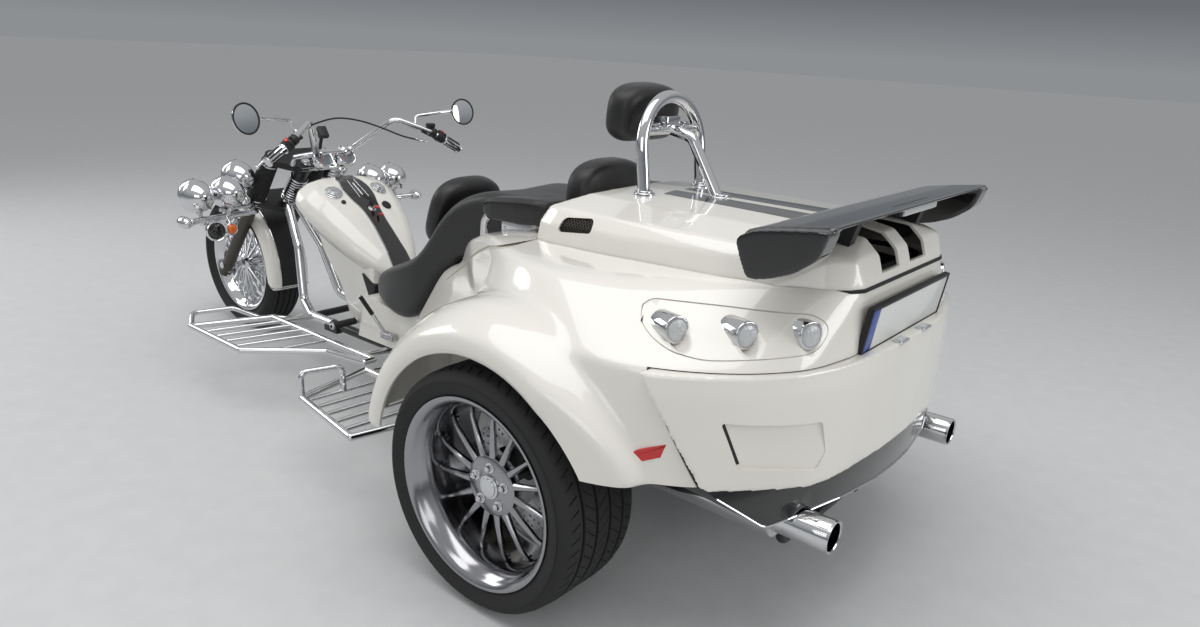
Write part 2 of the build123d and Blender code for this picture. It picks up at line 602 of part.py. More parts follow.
BUMPER_PLAN = ((-255, 780), (-375, 774), (-555, 672), (-695, 500), (-763, 250), (-781, 100))
BUMPER_CORNERS = (1, 90, 160, 150, 120, 60)
BUMPER_SIDE = ((-855, 400), (-855, 900), (-459, 900), (-455, 760), (-575, 484), (-600, 400))
LAMP_SPOTS = ((-430, 614, 850, 60), (-567, 536, 853, 62), (-672, 432, 856, 66))   # X, Y, Z, turn to the rear


def tail_lamp_frames():
    """Places of the six round lamps, each facing out of the tapered rear quarter."""
    frames = []
    for s in (1, -1):
        for x, y, z, turn in LAMP_SPOTS:
            a = math.radians(turn)
            frames.append(Plane((REAR_AXLE_X + x, s * y, z), z_dir=(-math.sin(a), s * math.cos(a), 0.12)))
    return frames


def bumper_prism(z0, z1, inset=0.0):
    """Solid over the bumper's plan."""
    return plan_prism(rear(BUMPER_PLAN), BUMPER_CORNERS, z0, z1, inset)


def rear_fittings():
    """Bumper, diffuser, tail lamps, plate and reflectors."""
    keep = prism_xz(rear(BUMPER_SIDE), -900, 900)
    body = plan_prism(rear([row[1] for row in CORE_ROWS]), [row[-1] for row in CORE_ROWS], SHELL_LOW_Z - 60, WAIST_Z)
    bumper = bumper_prism(BUMPER_LOW_Z, WAIST_Z) & keep
    bumper -= body
    bumper -= core()
    bumper -= bumper_prism(BUMPER_LOW_Z - 20, WAIST_Z - WALL, WALL)
    bumper -= fender_space()
    bumper = ShapeList(bumper.solids()).sort_by(lambda b: -b.volume)[0]
    write("rear_bumper", bumper)

    skirt = bumper_prism(SKIRT_LOW_Z, BUMPER_LOW_Z, 3) - bumper_prism(SKIRT_LOW_Z - 10, BUMPER_LOW_Z + 10, 12)
    skirt &= box(REAR_AXLE_X - 900, REAR_AXLE_X - 590, -900, 900, 300, BUMPER_LOW_Z)
    for s in (-1, 1):
        skirt -= disc_x(EXHAUST_D / 2 + MOVING_GAP, TAIL_X, TAIL_X + 300, s * EXHAUST_Y, EXHAUST_Z)
    write("diffuser", skirt)

    lamps = []
    for spot in tail_lamp_frames():
        lamps.append(spot * Pos(0, 0, -22) * Cylinder(TAIL_LAMP_D / 2, 60))
    write("tail_lamps", Compound(children=[p for g in lamps for p in g.solids()]))

    lean = math.radians(PLATE_LEAN_DEG)
    plane = Plane((PLATE_X, 0, PLATE_Z), x_dir=(0, -1, 0), z_dir=(-math.cos(lean), 0, math.sin(lean)))
    plate = plane * Box(PLATE_W, PLATE_H, 14)
    plate -= plane * Pos(0, 0, 7) * Box(PLATE_W - 14, PLATE_H - 14, 4)
    for s in (-1, 1):
        plate += disc_x(12, PLATE_X, PLATE_X + 26, s * 150, PLATE_Z)
    plate -= core()
    plate = ShapeList((plate - bumper).solids()).sort_by(lambda b: -b.volume)[0]
    write("number_plate", plate)
    small = []
    for s in (-1, 1):
        x0 = BUMPER_REAR_X + 4
        small.append(box(x0, x0 + 24, s * 80 - 26, s * 80 + 26, WAIST_Z, WAIST_Z + 7))
    write("plate_lamps", Compound(children=[p for g in small for p in g.solids()]))
    strip = plan_prism(rear([row[0] for row in CORE_ROWS]), [row[-1] for row in CORE_ROWS], 520, 640, -8) - core()
    strip &= prism_xz(rear(REFLECTOR_SIDE), -900, 900)
    strip -= fender_space()
    strip -= bumper_prism(BUMPER_LOW_Z, WAIST_Z) & keep
    write("reflectors", Compound(children=list(strip.solids())))


REFLECTOR_SIDE = ((-430, 544), (-432, 566), (-516, 610), (-520, 584), (-450, 540))


def fender_space():
    """The two wheel house bulges as one cutter."""
    bulge = fender_out()
    wheel = disc_y(WELL_R, LINER_Y - 80, 900, REAR_AXLE_X, REAR_TYRE_R)
    return bulge + mirror(bulge, about=Plane.XZ) + wheel + mirror(wheel, about=Plane.XZ)


# Lid

LID_PLAN = ((225, 400), (-55, LID_HALF), (-415, 420), (-600, 385), (-692, 310), (LID_REAR_X - REAR_AXLE_X, 270))
LID_CORNERS = (60, 200, 150, 90, 50, 20)
LID_SIDE = ((225, 880), (217, 1016), (155, 1040), (-5, LID_TOP_Z), (-455, 1040), (-640, 1024), (-682, 1002),
            (LID_REAR_X - REAR_AXLE_X, HINGE_Z), (LID_REAR_X - REAR_AXLE_X, 880))
LID_CROWN = ((0, 880), (LID_HALF + 11, 880), (LID_HALF + 6, 930), (LID_HALF - 33, 1012), (330, 1036), (0, LID_TOP_Z))
VENT_SIDE = ((134, 954), (8, 969), (8, 1006), (114, 992))
OUTLET_Y = (38.0, 152.0)
OUTLET_Z = (958.0, 990.0)


def lid_form(inset=0.0):
    """Outer form of the lid, or the same pulled in by its wall."""
    plan = plan_prism(rear(LID_PLAN), LID_CORNERS, 880, LID_TOP_Z + 10, inset)
    side = prism_xz(rear(LID_SIDE), -600, 600)
    crown = prism_yz(both_sides(LID_CROWN), LID_REAR_X - 100, LID_FRONT_X + 100)
    if inset:
        side = Pos(0, 0, -inset) * side + Pos(0, 0, -60) * side
        crown = Pos(0, 0, -inset) * crown + Pos(0, 0, -60) * crown
        return plan & side & crown
    return plan & side & crown & above_seam(SEAT_GAP)


def lid():
    """Lid shell with its hinge knuckles, wing, roll hoop and headrest."""
    shell = lid_form() - lid_form(LID_WALL)
    for s in (-1, 1):
        y0, y1 = sorted((s * (HINGE_Y - 30), s * (HINGE_Y + 30)))
        room0, room1 = sorted((s * (HINGE_Y - 48), s * (HINGE_Y + 48)))
        shell -= disc_y(KNUCKLE_D / 2 + 1, room0, room1, HINGE_X, HINGE_Z)
        knuckle = disc_y(KNUCKLE_D / 2, y0, y1, HINGE_X, HINGE_Z)
        knuckle += box(HINGE_X, HINGE_X + 12, y0, y1, HINGE_Z + SEAT_GAP, HINGE_Z + 12)
        shell += knuckle
        shell -= disc_y(HINGE_PIN_D / 2 + RUNNING_FIT, room0, room1, HINGE_X, HINGE_Z)
    for s in (-1, 1):
        y0, y1 = sorted((s * (LID_HALF - 85), s * (LID_HALF + 55)))
        shell -= prism_xz(rear(VENT_SIDE), y0, y1, 8)
        y0, y1 = sorted((s * OUTLET_Y[0], s * OUTLET_Y[1]))
        shell -= box(LID_REAR_X - 10, LID_REAR_X + 90, y0, y1, OUTLET_Z[0], OUTLET_Z[1])
    write("lid_shell", shell)

    hoop = tube([(HOOP_X, -HOOP_HALF, 1030), (HOOP_X + 38, -HOOP_HALF, HOOP_TOP_Z), (HOOP_X + 38, HOOP_HALF, HOOP_TOP_Z),
                 (HOOP_X, HOOP_HALF, 1030)], HOOP_D, HOOP_HALF - 1)
    cross_z = HOOP_TOP_Z - 94
    hoop += rod((HOOP_X + 28, -HOOP_HALF, cross_z), (HOOP_X + 28, HOOP_HALF, cross_z), 26)
    hoop += tube([(HOOP_X + 20, 0, cross_z), (HOOP_X - 50, 0, cross_z - 14), (HOOP_X - 170, 0, LID_TOP_Z - 25)], HOOP_D * 0.9, 40)
    for s in (-1, 1):
        hoop += rod((HOOP_X + 28, s * 50, cross_z), (HOOP_X + 92, s * 50, cross_z + 18), 14)
    hoop -= lid_form()
    hoop = ShapeList(hoop.solids()).sort_by(lambda b: -b.volume)[0]
    write("roll_hoop", hoop)
    pad = box(HOOP_X + 88, HOOP_X + 88 + 95, -155, 155, HOOP_TOP_Z - 124, HOOP_TOP_Z + 36)
    pad = fillet(pad.edges(), 40)
    write("headrest", pad - hoop)

    wing = prism_xz(rear(WING_SECTION), -SPOILER_HALF + 62, SPOILER_HALF - 62, 2)
    for s in (-1, 1):
        y0, y1 = sorted((s * (SPOILER_HALF - 66), s * SPOILER_HALF))
        wing += prism_xz(rear(WING_END), y0, y1, 14)
        y0, y1 = sorted((s * 200, s * 236))
        wing += prism_xz(rear(PYLON_SIDE), y0, y1)
    wing -= lid_form()
    wing = ShapeList(wing.solids()).sort_by(lambda b: -b.volume)[0]
    write("spoiler", wing)
    lamp = box(REAR_AXLE_X - 728, REAR_AXLE_X - 708, -115, 115, 1074, 1120) - wing
    write("high_brake_lamp", ShapeList(lamp.solids()).sort_by(lambda b: b.center().Z)[0])


WING_SECTION = ((-520, 1074), (-560, 1092), (-640, 1106), (-735, 1122), (-735, 1108), (-640, 1088), (-560, 1070))
WING_END = ((-548, 984), (-556, 1040), (-570, 1086), (-640, 1108), (-735, 1122), (-733, 1076), (-690, 1032),
            (-630, 1000), (-575, 978))
PYLON_SIDE = ((-600, 1090), (-700, 1110), (-660, 975), (-580, 975))


# Seats

SEAT_TOP = ((1363, 470), (1345, 490), (1203, 572), (1106, 680), (957, 788), (778, 900), (668, 955), (545, 962),
            (405, 962), (385, 900))
SEAT_LOW = ((575, 800), (674, 729), (799, 632), (895, 480), (972, 436), (1225, 425), (1345, 440))


SEAT_PLAN = ((1363, 130), (1190, 188), (1060, SEAT_HALF), (385, SEAT_HALF))
SEAT_CORNERS = (60, 140, 160, 24)
PIPING_R = 18.0            # rounding along the saddle's upper edges


def seat_form():
    """Outer form of the saddle: side outline, narrowed to the nose, upper edges rounded."""
    form = prism_xz(rear(SEAT_TOP) + rear(SEAT_LOW), -SEAT_HALF, SEAT_HALF)
    form &= plan_prism(rear(SEAT_PLAN), SEAT_CORNERS, 400, 1000)
    top = rear(SEAT_TOP)
    middles = [((a[0] + b[0]) / 2, (a[1] + b[1]) / 2) for a, b in zip(top, top[1:])]
    upper = []
    for edge in form.edges():
        c = edge.center()
        if SEAT_HALF - abs(c.Y) < 2 and any(math.hypot(c.X - x, c.Z - z) < 3 for x, z in middles):
            upper.append(edge)
    return fillet(upper, PIPING_R)


def seat_space(gap):
    """Room that the saddle takes out of the moulded body, up to the sky."""
    low = [(x, z - gap) for x, z in rear(SEAT_LOW)]
    back, front = REAR_AXLE_X + 385 - gap, REAR_AXLE_X + 1445
    points = [(back, 1200), (back, 900)] + low + [(front, 440), (front, 1200)]
    return prism_xz(points, -SEAT_HALF - gap, SEAT_HALF + gap)


BUCKET_SIDE = ((1445, 560), (1245, 545), (1085, 560), (985, 600), (915, 700), (845, 860), (745, 1000), (1445, 1000))


def seats():
    """Saddle, rider's and passenger's back pads, armrests."""
    saddle = seat_form()
    bucket = prism_xz(rear(BUCKET_SIDE), -140, 140, 30)
    saddle -= bucket
    write("seat", saddle)
    back = Plane((REAR_AXLE_X + 985, 0, 860), x_dir=(0, 1, 0), z_dir=(0.94, 0, -0.34)) * Box(340, 230, 70)
    back = fillet(back.edges(), 28)
    write("rider_backrest", back - saddle - bucket_floor())
    rest = box(LID_FRONT_X + SEAT_GAP, LID_FRONT_X + 120, -190, 190, SEAM_Z - 60, 1100)
    rest = fillet(rest.edges(), 36)
    rest -= Pos(0, 0, SEAT_GAP) * saddle
    write("passenger_backrest", rest - Pos(0, 0, SEAT_GAP) * core())


def bucket_floor():
    return box(REAR_AXLE_X + 645, REAR_AXLE_X + 1445, -300, 300, 0, 700)


def arms():
    """Armrest pads on bent tubes that stand on the moulded body."""
    pads, tubes = [], []
    for side, s in SIDES:
        lean = Plane((REAR_AXLE_X + 405, s * 300, 972), x_dir=(-0.93, 0, 0.37), z_dir=(0.37, 0, 0.93))
        pad = lean * Box(250, 78, 52)
        pad = fillet(pad.edges(), 22)
        pads.append(pad)
        bar = tube([(REAR_AXLE_X + x, s * 300, z) for x, z in ((485, 935), (540, 915), (555, 700))], 24, 34)
        tubes.append(bar - pad - core())
    write("armrest_pads", Compound(children=[p for g in pads for p in g.solids()]))
    kept = [ShapeList(g.solids()).sort_by(lambda b: -b.center().Z)[0] for g in tubes]
    write("armrest_tubes", Compound(children=kept))


# Tank, cowl, boards and exhaust

TANK_SIDE = ((787, 700), (770, 770), (719, 840), (640, 852), (337, 560), (322, 470), (400, 480), (740, 616))
TANK_PLAN = ((790, 0), (786, 110), (740, 205), (640, TANK_HALF), (520, 225), (400, 160), (325, 95), (322, 0))
TANK_CORNERS = (40, 60, 90, 90, 120, 20)
TANK_FRONT = ((0, 420), (110, 440), (196, 600), (240, 715), (205, 800), (110, 846), (0, 856))


def front_body(frame):
    """Tank, its console, the cowl below it and the tunnel under the saddle."""
    tank = prism_xz(TANK_SIDE, -300, 300, 30)
    tank &= plan_prism(TANK_PLAN, TANK_CORNERS, 300, 1000)
    tank &= prism_yz(both_sides(TANK_FRONT), 300, 800, 60)
    write("fuel_tank", tank)
    slope = math.atan2(852 - 560, 640 - 337)
    nx, nz = -math.sin(slope) * 9, math.cos(slope) * 9
    console = prism_xz([(640, 852), (640 + nx, 852 + nz), (345 + nx, 568 + nz), (345, 568)], -58, 58)
    write("tank_console", console - tank)
    caps = []
    for s in (-1, 1):
        spot = Plane((610, s * 112, 823), z_dir=(-math.sin(slope), 0, math.cos(slope)))
        caps.append(spot * Pos(0, 0, 2) * Cylinder(30, 34) - tank - console)
    write("filler_caps", Compound(children=[p for g in caps for p in g.solids()]))

    cowl_side = [(800, 612), (560, 256), (392, 256), (332, 436), (332, 466)]
    cowl = prism_xz(cowl_side, -118, 118)
    cowl -= prism_xz([(790, 640), (550, 250), (300, 250), (300, 640)], -108, 108)
    cowl -= prism_xz([(787, 620), (740, 615.7), (400, 479.7), (322, 469.7), (300, 900), (900, 900)], -200, 200)
    write("front_cowl", cowl - frame)

    top = rear([(755, 424), (972, 435.7), (1225, 424.7), (1345, 439.7)]) + [(329, 439.7)]
    tail = REAR_AXLE_X + 485
    tunnel = prism_xz([(389, 256), (tail, 256), (tail, 424)] + top, -TUNNEL_HALF, TUNNEL_HALF)
    inner = [(500, 200), (tail - 40, 200), (tail - 40, 414)] + rear([(755, 414), (1225, 414)])
    inner = prism_xz(inner + [(320, 426), (400, 426)], -TUNNEL_HALF + 8, TUNNEL_HALF - 8)
    tunnel -= inner
    write("tunnel_cover", ShapeList(tunnel.solids()).sort_by(lambda b: -b.volume)[0])


RIDER_BOARD = ((953, 607), (553, 609), (319, 372), (123, 340), (123, 296), (843, 296))
PILLION_BOARD = ((1025, 700), (655, 764), (625, 610), (625, 400), (1105, 380))   # X from the rear axle


def board(points, rungs, s, frame, brackets):
    """Tubular platform: a closed loop, straight rungs and brackets to the rail."""
    loop = [(x, s * y, BOARD_Z) for x, y in points]
    whole = None
    for a, b in zip(loop, loop[1:] + loop[:1]):
        bar = rod(a, b, BOARD_D) + Pos(*b) * Sphere(BOARD_D / 2)
        whole = bar if whole is None else whole + bar
    for a, b in rungs:
        whole += rod((a[0], s * a[1], BOARD_Z), (b[0], s * b[1], BOARD_Z), BAR_RUNG_D)
    for x, y in brackets:
        whole += rod((x, s * RAIL_Y, RAIL_Z), (x, s * y, BOARD_Z), BOARD_D)
    return whole - frame


def boards(frame):
    """Footboards, pegs and the hand brake."""
    for side, s in SIDES:
        rungs = [((x - 30, 296), (x + 50, 608)) for x in (800, 720, 640, 560)]
        rungs.append(((430, 296), (470, 525)))
        rider = board(RIDER_BOARD, rungs, s, frame, ((780, 296), (200, 296)))
        rider += tube([(953, s * 607, BOARD_Z), (1030, s * 560, BOARD_Z + 30), (985, s * 400, BOARD_Z + 30),
                       (880, s * 340, BOARD_Z)], BOARD_D * 0.8, 30)
        write(f"rider_footboard_{side}", rider)
        rungs = [(rear([(x, 400 - (x - 625) * 0.04)])[0], rear([(x + 20, 760 - (x - 655) * 0.17)])[0])
                 for x in (695, 765, 835, 905, 975)]
        pillion = board(rear(PILLION_BOARD), rungs, s, frame, rear(((665, 420), (1065, 384))))
        loop = ((1025, 700, 0), (1025, 700, 95), (985, 560, 95), (985, 560, 0))
        pillion += tube([(REAR_AXLE_X + x, s * y, BOARD_Z + z) for x, y, z in loop], BOARD_D * 0.8, 26)
        write(f"pillion_footboard_{side}", pillion)
    pegs = []
    for side, s in SIDES:
        y0, y1 = sorted((s * 118, s * 250))
        pegs.append(disc_y(15, y0, y1, 470, 290))
    write("foot_pegs", Compound(children=[p for g in pegs for p in g.solids()]))
    lever = box(120, 210, TUNNEL_HALF, TUNNEL_HALF + 34, 300, 330)
    lever += tube([(165, TUNNEL_HALF + 22, 315), (200, TUNNEL_HALF + 52, 390), (262, TUNNEL_HALF + 70, 470)], 22, 60)
    write("hand_brake", lever)


def exhausts(frame):
    """A silencer with a wide tip at each side, hung from the frame."""
    for side, s in SIDES:
        y = s * EXHAUST_Y
        front = TAIL_X + 530
        can = disc_x(58, TAIL_X + 150, front, y, EXHAUST_Z)
        can += disc_x(EXHAUST_D / 2, TAIL_X, TAIL_X + 160, y, EXHAUST_Z)
        can += tube([(front - 10, y, EXHAUST_Z), (front + 100, y, EXHAUST_Z), (front + 150, s * 300, EXHAUST_Z)], 48, 60)
        can += rod((ENGINE_REAR_X - 30, s * RAIL_Y, RAIL_Z), (ENGINE_REAR_X - 30, y, EXHAUST_Z - 30), 18)
        can -= disc_x(EXHAUST_D / 2 - 3, TAIL_X - 1, TAIL_X + 140, y, EXHAUST_Z)
        can -= box(ENGINE_REAR_X - 60, ENGINE_FRONT_X, -300, 300, 255, 600)
        write(f"exhaust_{side}", ShapeList((can - frame).solids()).sort_by(lambda b: -b.volume)[0])


def main():
    wheels()
    steering()
    shell = body_shell()
    write("body_shell", shell)
    frame = chassis(shell)
    rear_fittings()
    lid()
    seats()
    arms()
    front_body(frame)
    boards(frame)
    exhausts(frame)


main()
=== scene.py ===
# %% [markdown]
# A white motorized trike: one raked front wheel, a black saddle and a wide moulded luggage body.
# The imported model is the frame: every piece here goes where that frame says, in metres.
# Sizes are written in millimetres, as on a drawing, and a finished piece is scaled once, at its end.

# %% Load the frame
import json
import math

import bmesh
import bpy
from mathutils import Matrix, Vector


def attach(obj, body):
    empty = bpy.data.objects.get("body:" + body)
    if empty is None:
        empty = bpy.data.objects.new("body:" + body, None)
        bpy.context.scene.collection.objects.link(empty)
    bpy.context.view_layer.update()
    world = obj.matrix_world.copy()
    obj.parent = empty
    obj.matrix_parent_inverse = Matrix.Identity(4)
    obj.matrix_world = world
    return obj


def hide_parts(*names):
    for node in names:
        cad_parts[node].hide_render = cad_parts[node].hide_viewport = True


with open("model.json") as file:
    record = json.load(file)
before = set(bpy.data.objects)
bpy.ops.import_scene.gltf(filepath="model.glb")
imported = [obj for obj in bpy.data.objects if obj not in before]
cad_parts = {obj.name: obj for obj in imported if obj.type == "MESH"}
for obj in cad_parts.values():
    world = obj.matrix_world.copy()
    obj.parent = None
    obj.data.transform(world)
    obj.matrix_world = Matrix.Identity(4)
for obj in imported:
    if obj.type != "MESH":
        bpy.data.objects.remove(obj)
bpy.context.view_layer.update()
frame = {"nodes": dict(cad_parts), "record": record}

nodes = frame["nodes"]
MM = 0.001
METRE = 1000.0
FULL_TURN = 2 * math.pi

# %% [markdown]
# The camera stands where the photographer stood: behind the left rear wheel and above it.
# Its place and turn came from fitting the two rear wheels, the plate and the ground. The
# optical axis passed a little below the middle of the picture, so the frame is shifted up.

# %% Camera
CAMERA_AT = (-2.4913, 2.1722, 1.4528)
CAMERA_YAW = math.radians(-51.5992)
CAMERA_PITCH = math.radians(-20.36)
CAMERA_ROLL = math.radians(3.1752)
PHOTO_WIDTH = 1200.0
FOCAL_PIXELS = 848.92
AXIS_BELOW_MIDDLE = 45.6
SENSOR_WIDTH = 36.0
FAR_CLIP = 200


def camera_matrix():
    """World matrix of a camera given by yaw, pitch and roll."""
    flat = math.cos(CAMERA_PITCH)
    ahead = Vector((flat * math.cos(CAMERA_YAW), flat * math.sin(CAMERA_YAW), math.sin(CAMERA_PITCH)))
    side = ahead.cross(Vector((0, 0, 1))).normalized()
    up = side.cross(ahead)
    right = side * math.cos(CAMERA_ROLL) + up * math.sin(CAMERA_ROLL)
    top = up * math.cos(CAMERA_ROLL) - side * math.sin(CAMERA_ROLL)
    turn = Matrix((right, top, -ahead)).transposed().to_4x4()
    return Matrix.Translation(CAMERA_AT) @ turn


camera_data = bpy.data.cameras.new("camera")
camera_data.sensor_width = SENSOR_WIDTH
camera_data.lens = SENSOR_WIDTH * FOCAL_PIXELS / PHOTO_WIDTH
camera_data.shift_y = AXIS_BELOW_MIDDLE / PHOTO_WIDTH
camera_data.clip_end = FAR_CLIP
camera = bpy.data.objects.new("camera", camera_data)
camera.matrix_world = camera_matrix()
bpy.context.scene.collection.objects.link(camera)
bpy.context.scene.camera = camera
bpy.context.scene.view_settings.view_transform = "Standard"
print("lens", round(camera_data.lens, 2), "mm")

# %% [markdown]
# One function turns a colour as it is written on a paint chart, sRGB hex, into the linear light
# that the shader works in. One adds a node with its settings and links. A material starts from
# its Principled node and from Object coordinates, so a pattern keeps its real size in millimetres.

# %% Node helpers


def linear(code):
    """sRGB hex to linear RGBA."""
    parts = [int(code[i:i + 2], 16) / 255 for i in (1, 3, 5)]
    return [c / 12.92 if c <= 0.04045 else ((c + 0.055) / 1.055) ** 2.4 for c in parts] + [1.0]


def feed(tree, node, **sockets):
    """Sets inputs of a node, each to a value or by a link; in6 is input 6, for names that repeat."""
    for key, value in sockets.items():
        socket = node.inputs[int(key[2:]) if key[2:].isdigit() else key.replace("_", " ")]
        if isinstance(value, bpy.types.NodeSocket):
            tree.links.new(value, socket)
        else:
            socket.default_value = value


def add(tree, kind, settings=None, **sockets):
    """One node: settings are its properties, sockets its inputs."""
    node = tree.nodes.new(kind)
    for key, value in (settings or {}).items():
        setattr(node, key, value)
    feed(tree, node, **sockets)
    return node


def shader(name, code, rough, metallic=0.0, **more):
    """A material with its Principled node set up, and the Object coordinates that its patterns read."""
    material = bpy.data.materials.new(name)
    material.use_nodes = True
    tree = material.node_tree
    base = tree.nodes["Principled BSDF"]
    feed(tree, base, Base_Color=linear(code), Roughness=rough, Metallic=metallic, **more)
    return material, tree, base, add(tree, "ShaderNodeTexCoord").outputs["Object"]


def mottled(tree, base, place, size, dark, light, spread=None, detail=4.0, rough=0.6):
    """Clouds that wide in millimetres, between two colours and, where a spread is given, two roughnesses."""
    cloud = add(tree, "ShaderNodeTexNoise", Vector=place, Scale=METRE / size, Detail=detail, Roughness=rough)
    colour = add(tree, "ShaderNodeMix", {"data_type": "RGBA"}, Factor=cloud.outputs["Fac"],
                 in6=linear(dark), in7=linear(light))
    feed(tree, base, Base_Color=colour.outputs[2])
    if spread:
        vary = add(tree, "ShaderNodeMapRange", Value=cloud.outputs["Fac"], To_Min=spread[0], To_Max=spread[1])
        feed(tree, base, Roughness=vary.outputs["Result"])


print("node helpers ready")

# %% [markdown]
# The body is fibreglass in a warm pearl white under clear lacquer. A lacquered panel is two
# layers: a fairly rough white, and over it a smooth clear coat, which carries the sharp
# reflections. A very slow noise keeps the white from being one dead number.

# %% White lacquer
CLOUD, PEEL, PEEL_DEPTH = 420, 6, 0.012
COAT_ROUGHNESS = 0.035


def lacquer(name, dark, light, coat=1.0, rough=0.32):
    material, tree, base, place = shader(name, light, rough, Coat_Weight=coat, Coat_Roughness=COAT_ROUGHNESS)
    mottled(tree, base, place, CLOUD, dark, light, detail=2.0, rough=0.5)
    peel = add(tree, "ShaderNodeTexNoise", Vector=place, Scale=METRE / PEEL, Detail=1.0)
    bump = add(tree, "ShaderNodeBump", Height=peel.outputs["Fac"], Distance=PEEL_DEPTH * MM)
    feed(tree, base, Normal=bump.outputs["Normal"])
    return material


white = lacquer("pearl_white_lacquer", "#E4E1D9", "#EFECE4")
black_gloss = lacquer("gloss_black_lacquer", "#060607", "#0D0D0F", rough=0.25)
print("lacquer:", white.name, black_gloss.name)

# %% [markdown]
# Chrome is a mirror with fine wiping marks: metallic 1, a low roughness that varies a little.
# The same recipe, darker and a little rougher, gives smoked chrome, turned aluminium and the
# satin grey of the fork legs. A cast skin is dull and finely pitted.

# %% Metals
CAST_PIT = 1.6


def metal(name, code, rough, wipe=0.05, mark=35, pitted=0.0):
    """Wiping marks are mark millimetres across, and the pits of a cast skin pitted deep."""
    material, tree, base, place = shader(name, code, rough, 1.0)
    smear = add(tree, "ShaderNodeTexNoise", Vector=place, Scale=METRE / mark, Detail=4.0, Roughness=0.6)
    spread = add(tree, "ShaderNodeMapRange", Value=smear.outputs["Fac"], To_Min=rough - wipe / 2,
                 To_Max=rough + wipe)
    feed(tree, base, Roughness=spread.outputs["Result"])
    if pitted:
        cast = add(tree, "ShaderNodeTexNoise", Vector=place, Scale=METRE / CAST_PIT, Detail=3.0)
        bump = add(tree, "ShaderNodeBump", Height=cast.outputs["Fac"], Distance=pitted * MM)
        feed(tree, base, Normal=bump.outputs["Normal"])
    return material


chrome = metal("bright_chrome", "#DADBDD", 0.06, 0.05)
smoked = metal("smoked_chrome", "#A3A3A6", 0.14, 0.08)
machined = metal("machined_alloy", "#B9B9BB", 0.24, 0.1, 12)
fork_grey = metal("anodised_grey", "#57534E", 0.36, 0.1, 18)
cast_alloy = metal("cast_alloy", "#77787A", 0.5, 0.15, 14, 0.25)
print("metals ready")

# %% [markdown]
# Black things are never one black: powder coat is satin with a fine orange peel, moulded plastic
# is duller, and rubber is rough and a little grey with dust.

# %% Black finishes
MOTTLE_PER_GRAIN = 14


def matt(name, dark, light, rough, size, depth):
    """Black with a grain of that size and depth in millimetres."""
    material, tree, base, place = shader(name, dark, rough)
    mottled(tree, base, place, size * MOTTLE_PER_GRAIN, dark, light, (rough - 0.06, rough + 0.08))
    fine = add(tree, "ShaderNodeTexNoise", Vector=place, Scale=METRE / size, Detail=3.0)
    bump = add(tree, "ShaderNodeBump", Height=fine.outputs["Fac"], Distance=depth * MM)
    feed(tree, base, Normal=bump.outputs["Normal"])
    return material


powder = matt("satin_powder_coat", "#101011", "#17171A", 0.38, 1.5, 0.05)
plastic = matt("moulded_plastic", "#131314", "#1B1B1D", 0.5, 1.2, 0.06)
rubber = matt("black_rubber", "#161616", "#202021", 0.72, 1.6, 0.08)
tyre_rubber = matt("tyre_rubber", "#1A1A1B", "#29292A", 0.8, 2.0, 0.12)
print("black finishes ready")

# %% [markdown]
# Leathercloth is embossed vinyl: small cells and a soft sheen. The real cells are 1 mm wide,
# too fine to show at this distance, so they are drawn about twice as wide.

# %% Leathercloth
CELLS_PER_METRE, CELL_DEPTH = 480.0, 0.35
FOLD = 60


def leathercloth():
    material, tree, base, place = shader("black_leathercloth", "#111112", 0.42, Sheen_Weight=0.15,
                                         Sheen_Roughness=0.4)
    cells = add(tree, "ShaderNodeTexVoronoi", {"feature": "F1"}, Vector=place, Scale=CELLS_PER_METRE)
    mottled(tree, base, place, FOLD, "#0E0E0F", "#1C1C1E", (0.36, 0.52))
    bump = add(tree, "ShaderNodeBump", Height=cells.outputs["Distance"], Distance=CELL_DEPTH * MM,
               Strength=0.5)
    feed(tree, base, Normal=bump.outputs["Normal"])
    return material


leather = leathercloth()
print("leathercloth ready")

# %% [markdown]
# Lenses: clear ones are thin moulded glass over a bright bowl, so a little transmission and a
# grooved bump are enough. The reflector is red prisms, a small checker of bumps under gloss.

# %% Lenses
PRISM_DEPTH, PRISM_STRENGTH, PRISM_JITTER = 1.6, 0.9, 0.15


def lens(name, code, cell, transmission=0.0, rough=0.08):
    material, tree, base, place = shader(name, code, rough, Coat_Weight=0.8,
                                         Transmission_Weight=transmission)
    prisms = add(tree, "ShaderNodeTexVoronoi", {"feature": "F1"}, Vector=place, Scale=METRE / cell,
                 Randomness=PRISM_JITTER)
    bump = add(tree, "ShaderNodeBump", Height=prisms.outputs["Distance"], Distance=PRISM_DEPTH * MM,
               Strength=PRISM_STRENGTH)
    feed(tree, base, Normal=bump.outputs["Normal"])
    return material


clear_lens = lens("clear_ribbed_lens", "#D9DCDD", 9, 0.25)
amber_lens = lens("amber_lens", "#E0661A", 8)
red_lens = lens("red_reflector", "#C91414", 7)
dial_face = shader("dial_face", "#6B7076", 0.35, Coat_Weight=0.6)[0]
plate_white = lacquer("plate_white", "#D8DAD8", "#E3E5E3", 0.3, 0.4)
plate_blue = lacquer("plate_blue", "#1B3F9A", "#2149A8", 0.3, 0.4)
print("lenses ready")

# %% Which finish each carried-over node takes
BY_SLOT = {"white_paint": white, "black_gloss": black_gloss, "plate": plate_white, "frame_paint": powder,
           "cast_alloy": cast_alloy, "leather": leather, "chrome": chrome, "dark_chrome": smoked,
           "fork_grey": fork_grey, "rubber": rubber, "tyre": tyre_rubber, "black_satin": plastic,
           "lamp_glass": clear_lens, "red_lens": red_lens}
for part in frame["record"]["subparts"]:
    mesh = nodes[part["node"]].data
    mesh.materials.clear()
    mesh.materials.append(BY_SLOT[part["material_slot"]])
print("finishes given to", len(nodes), "nodes")

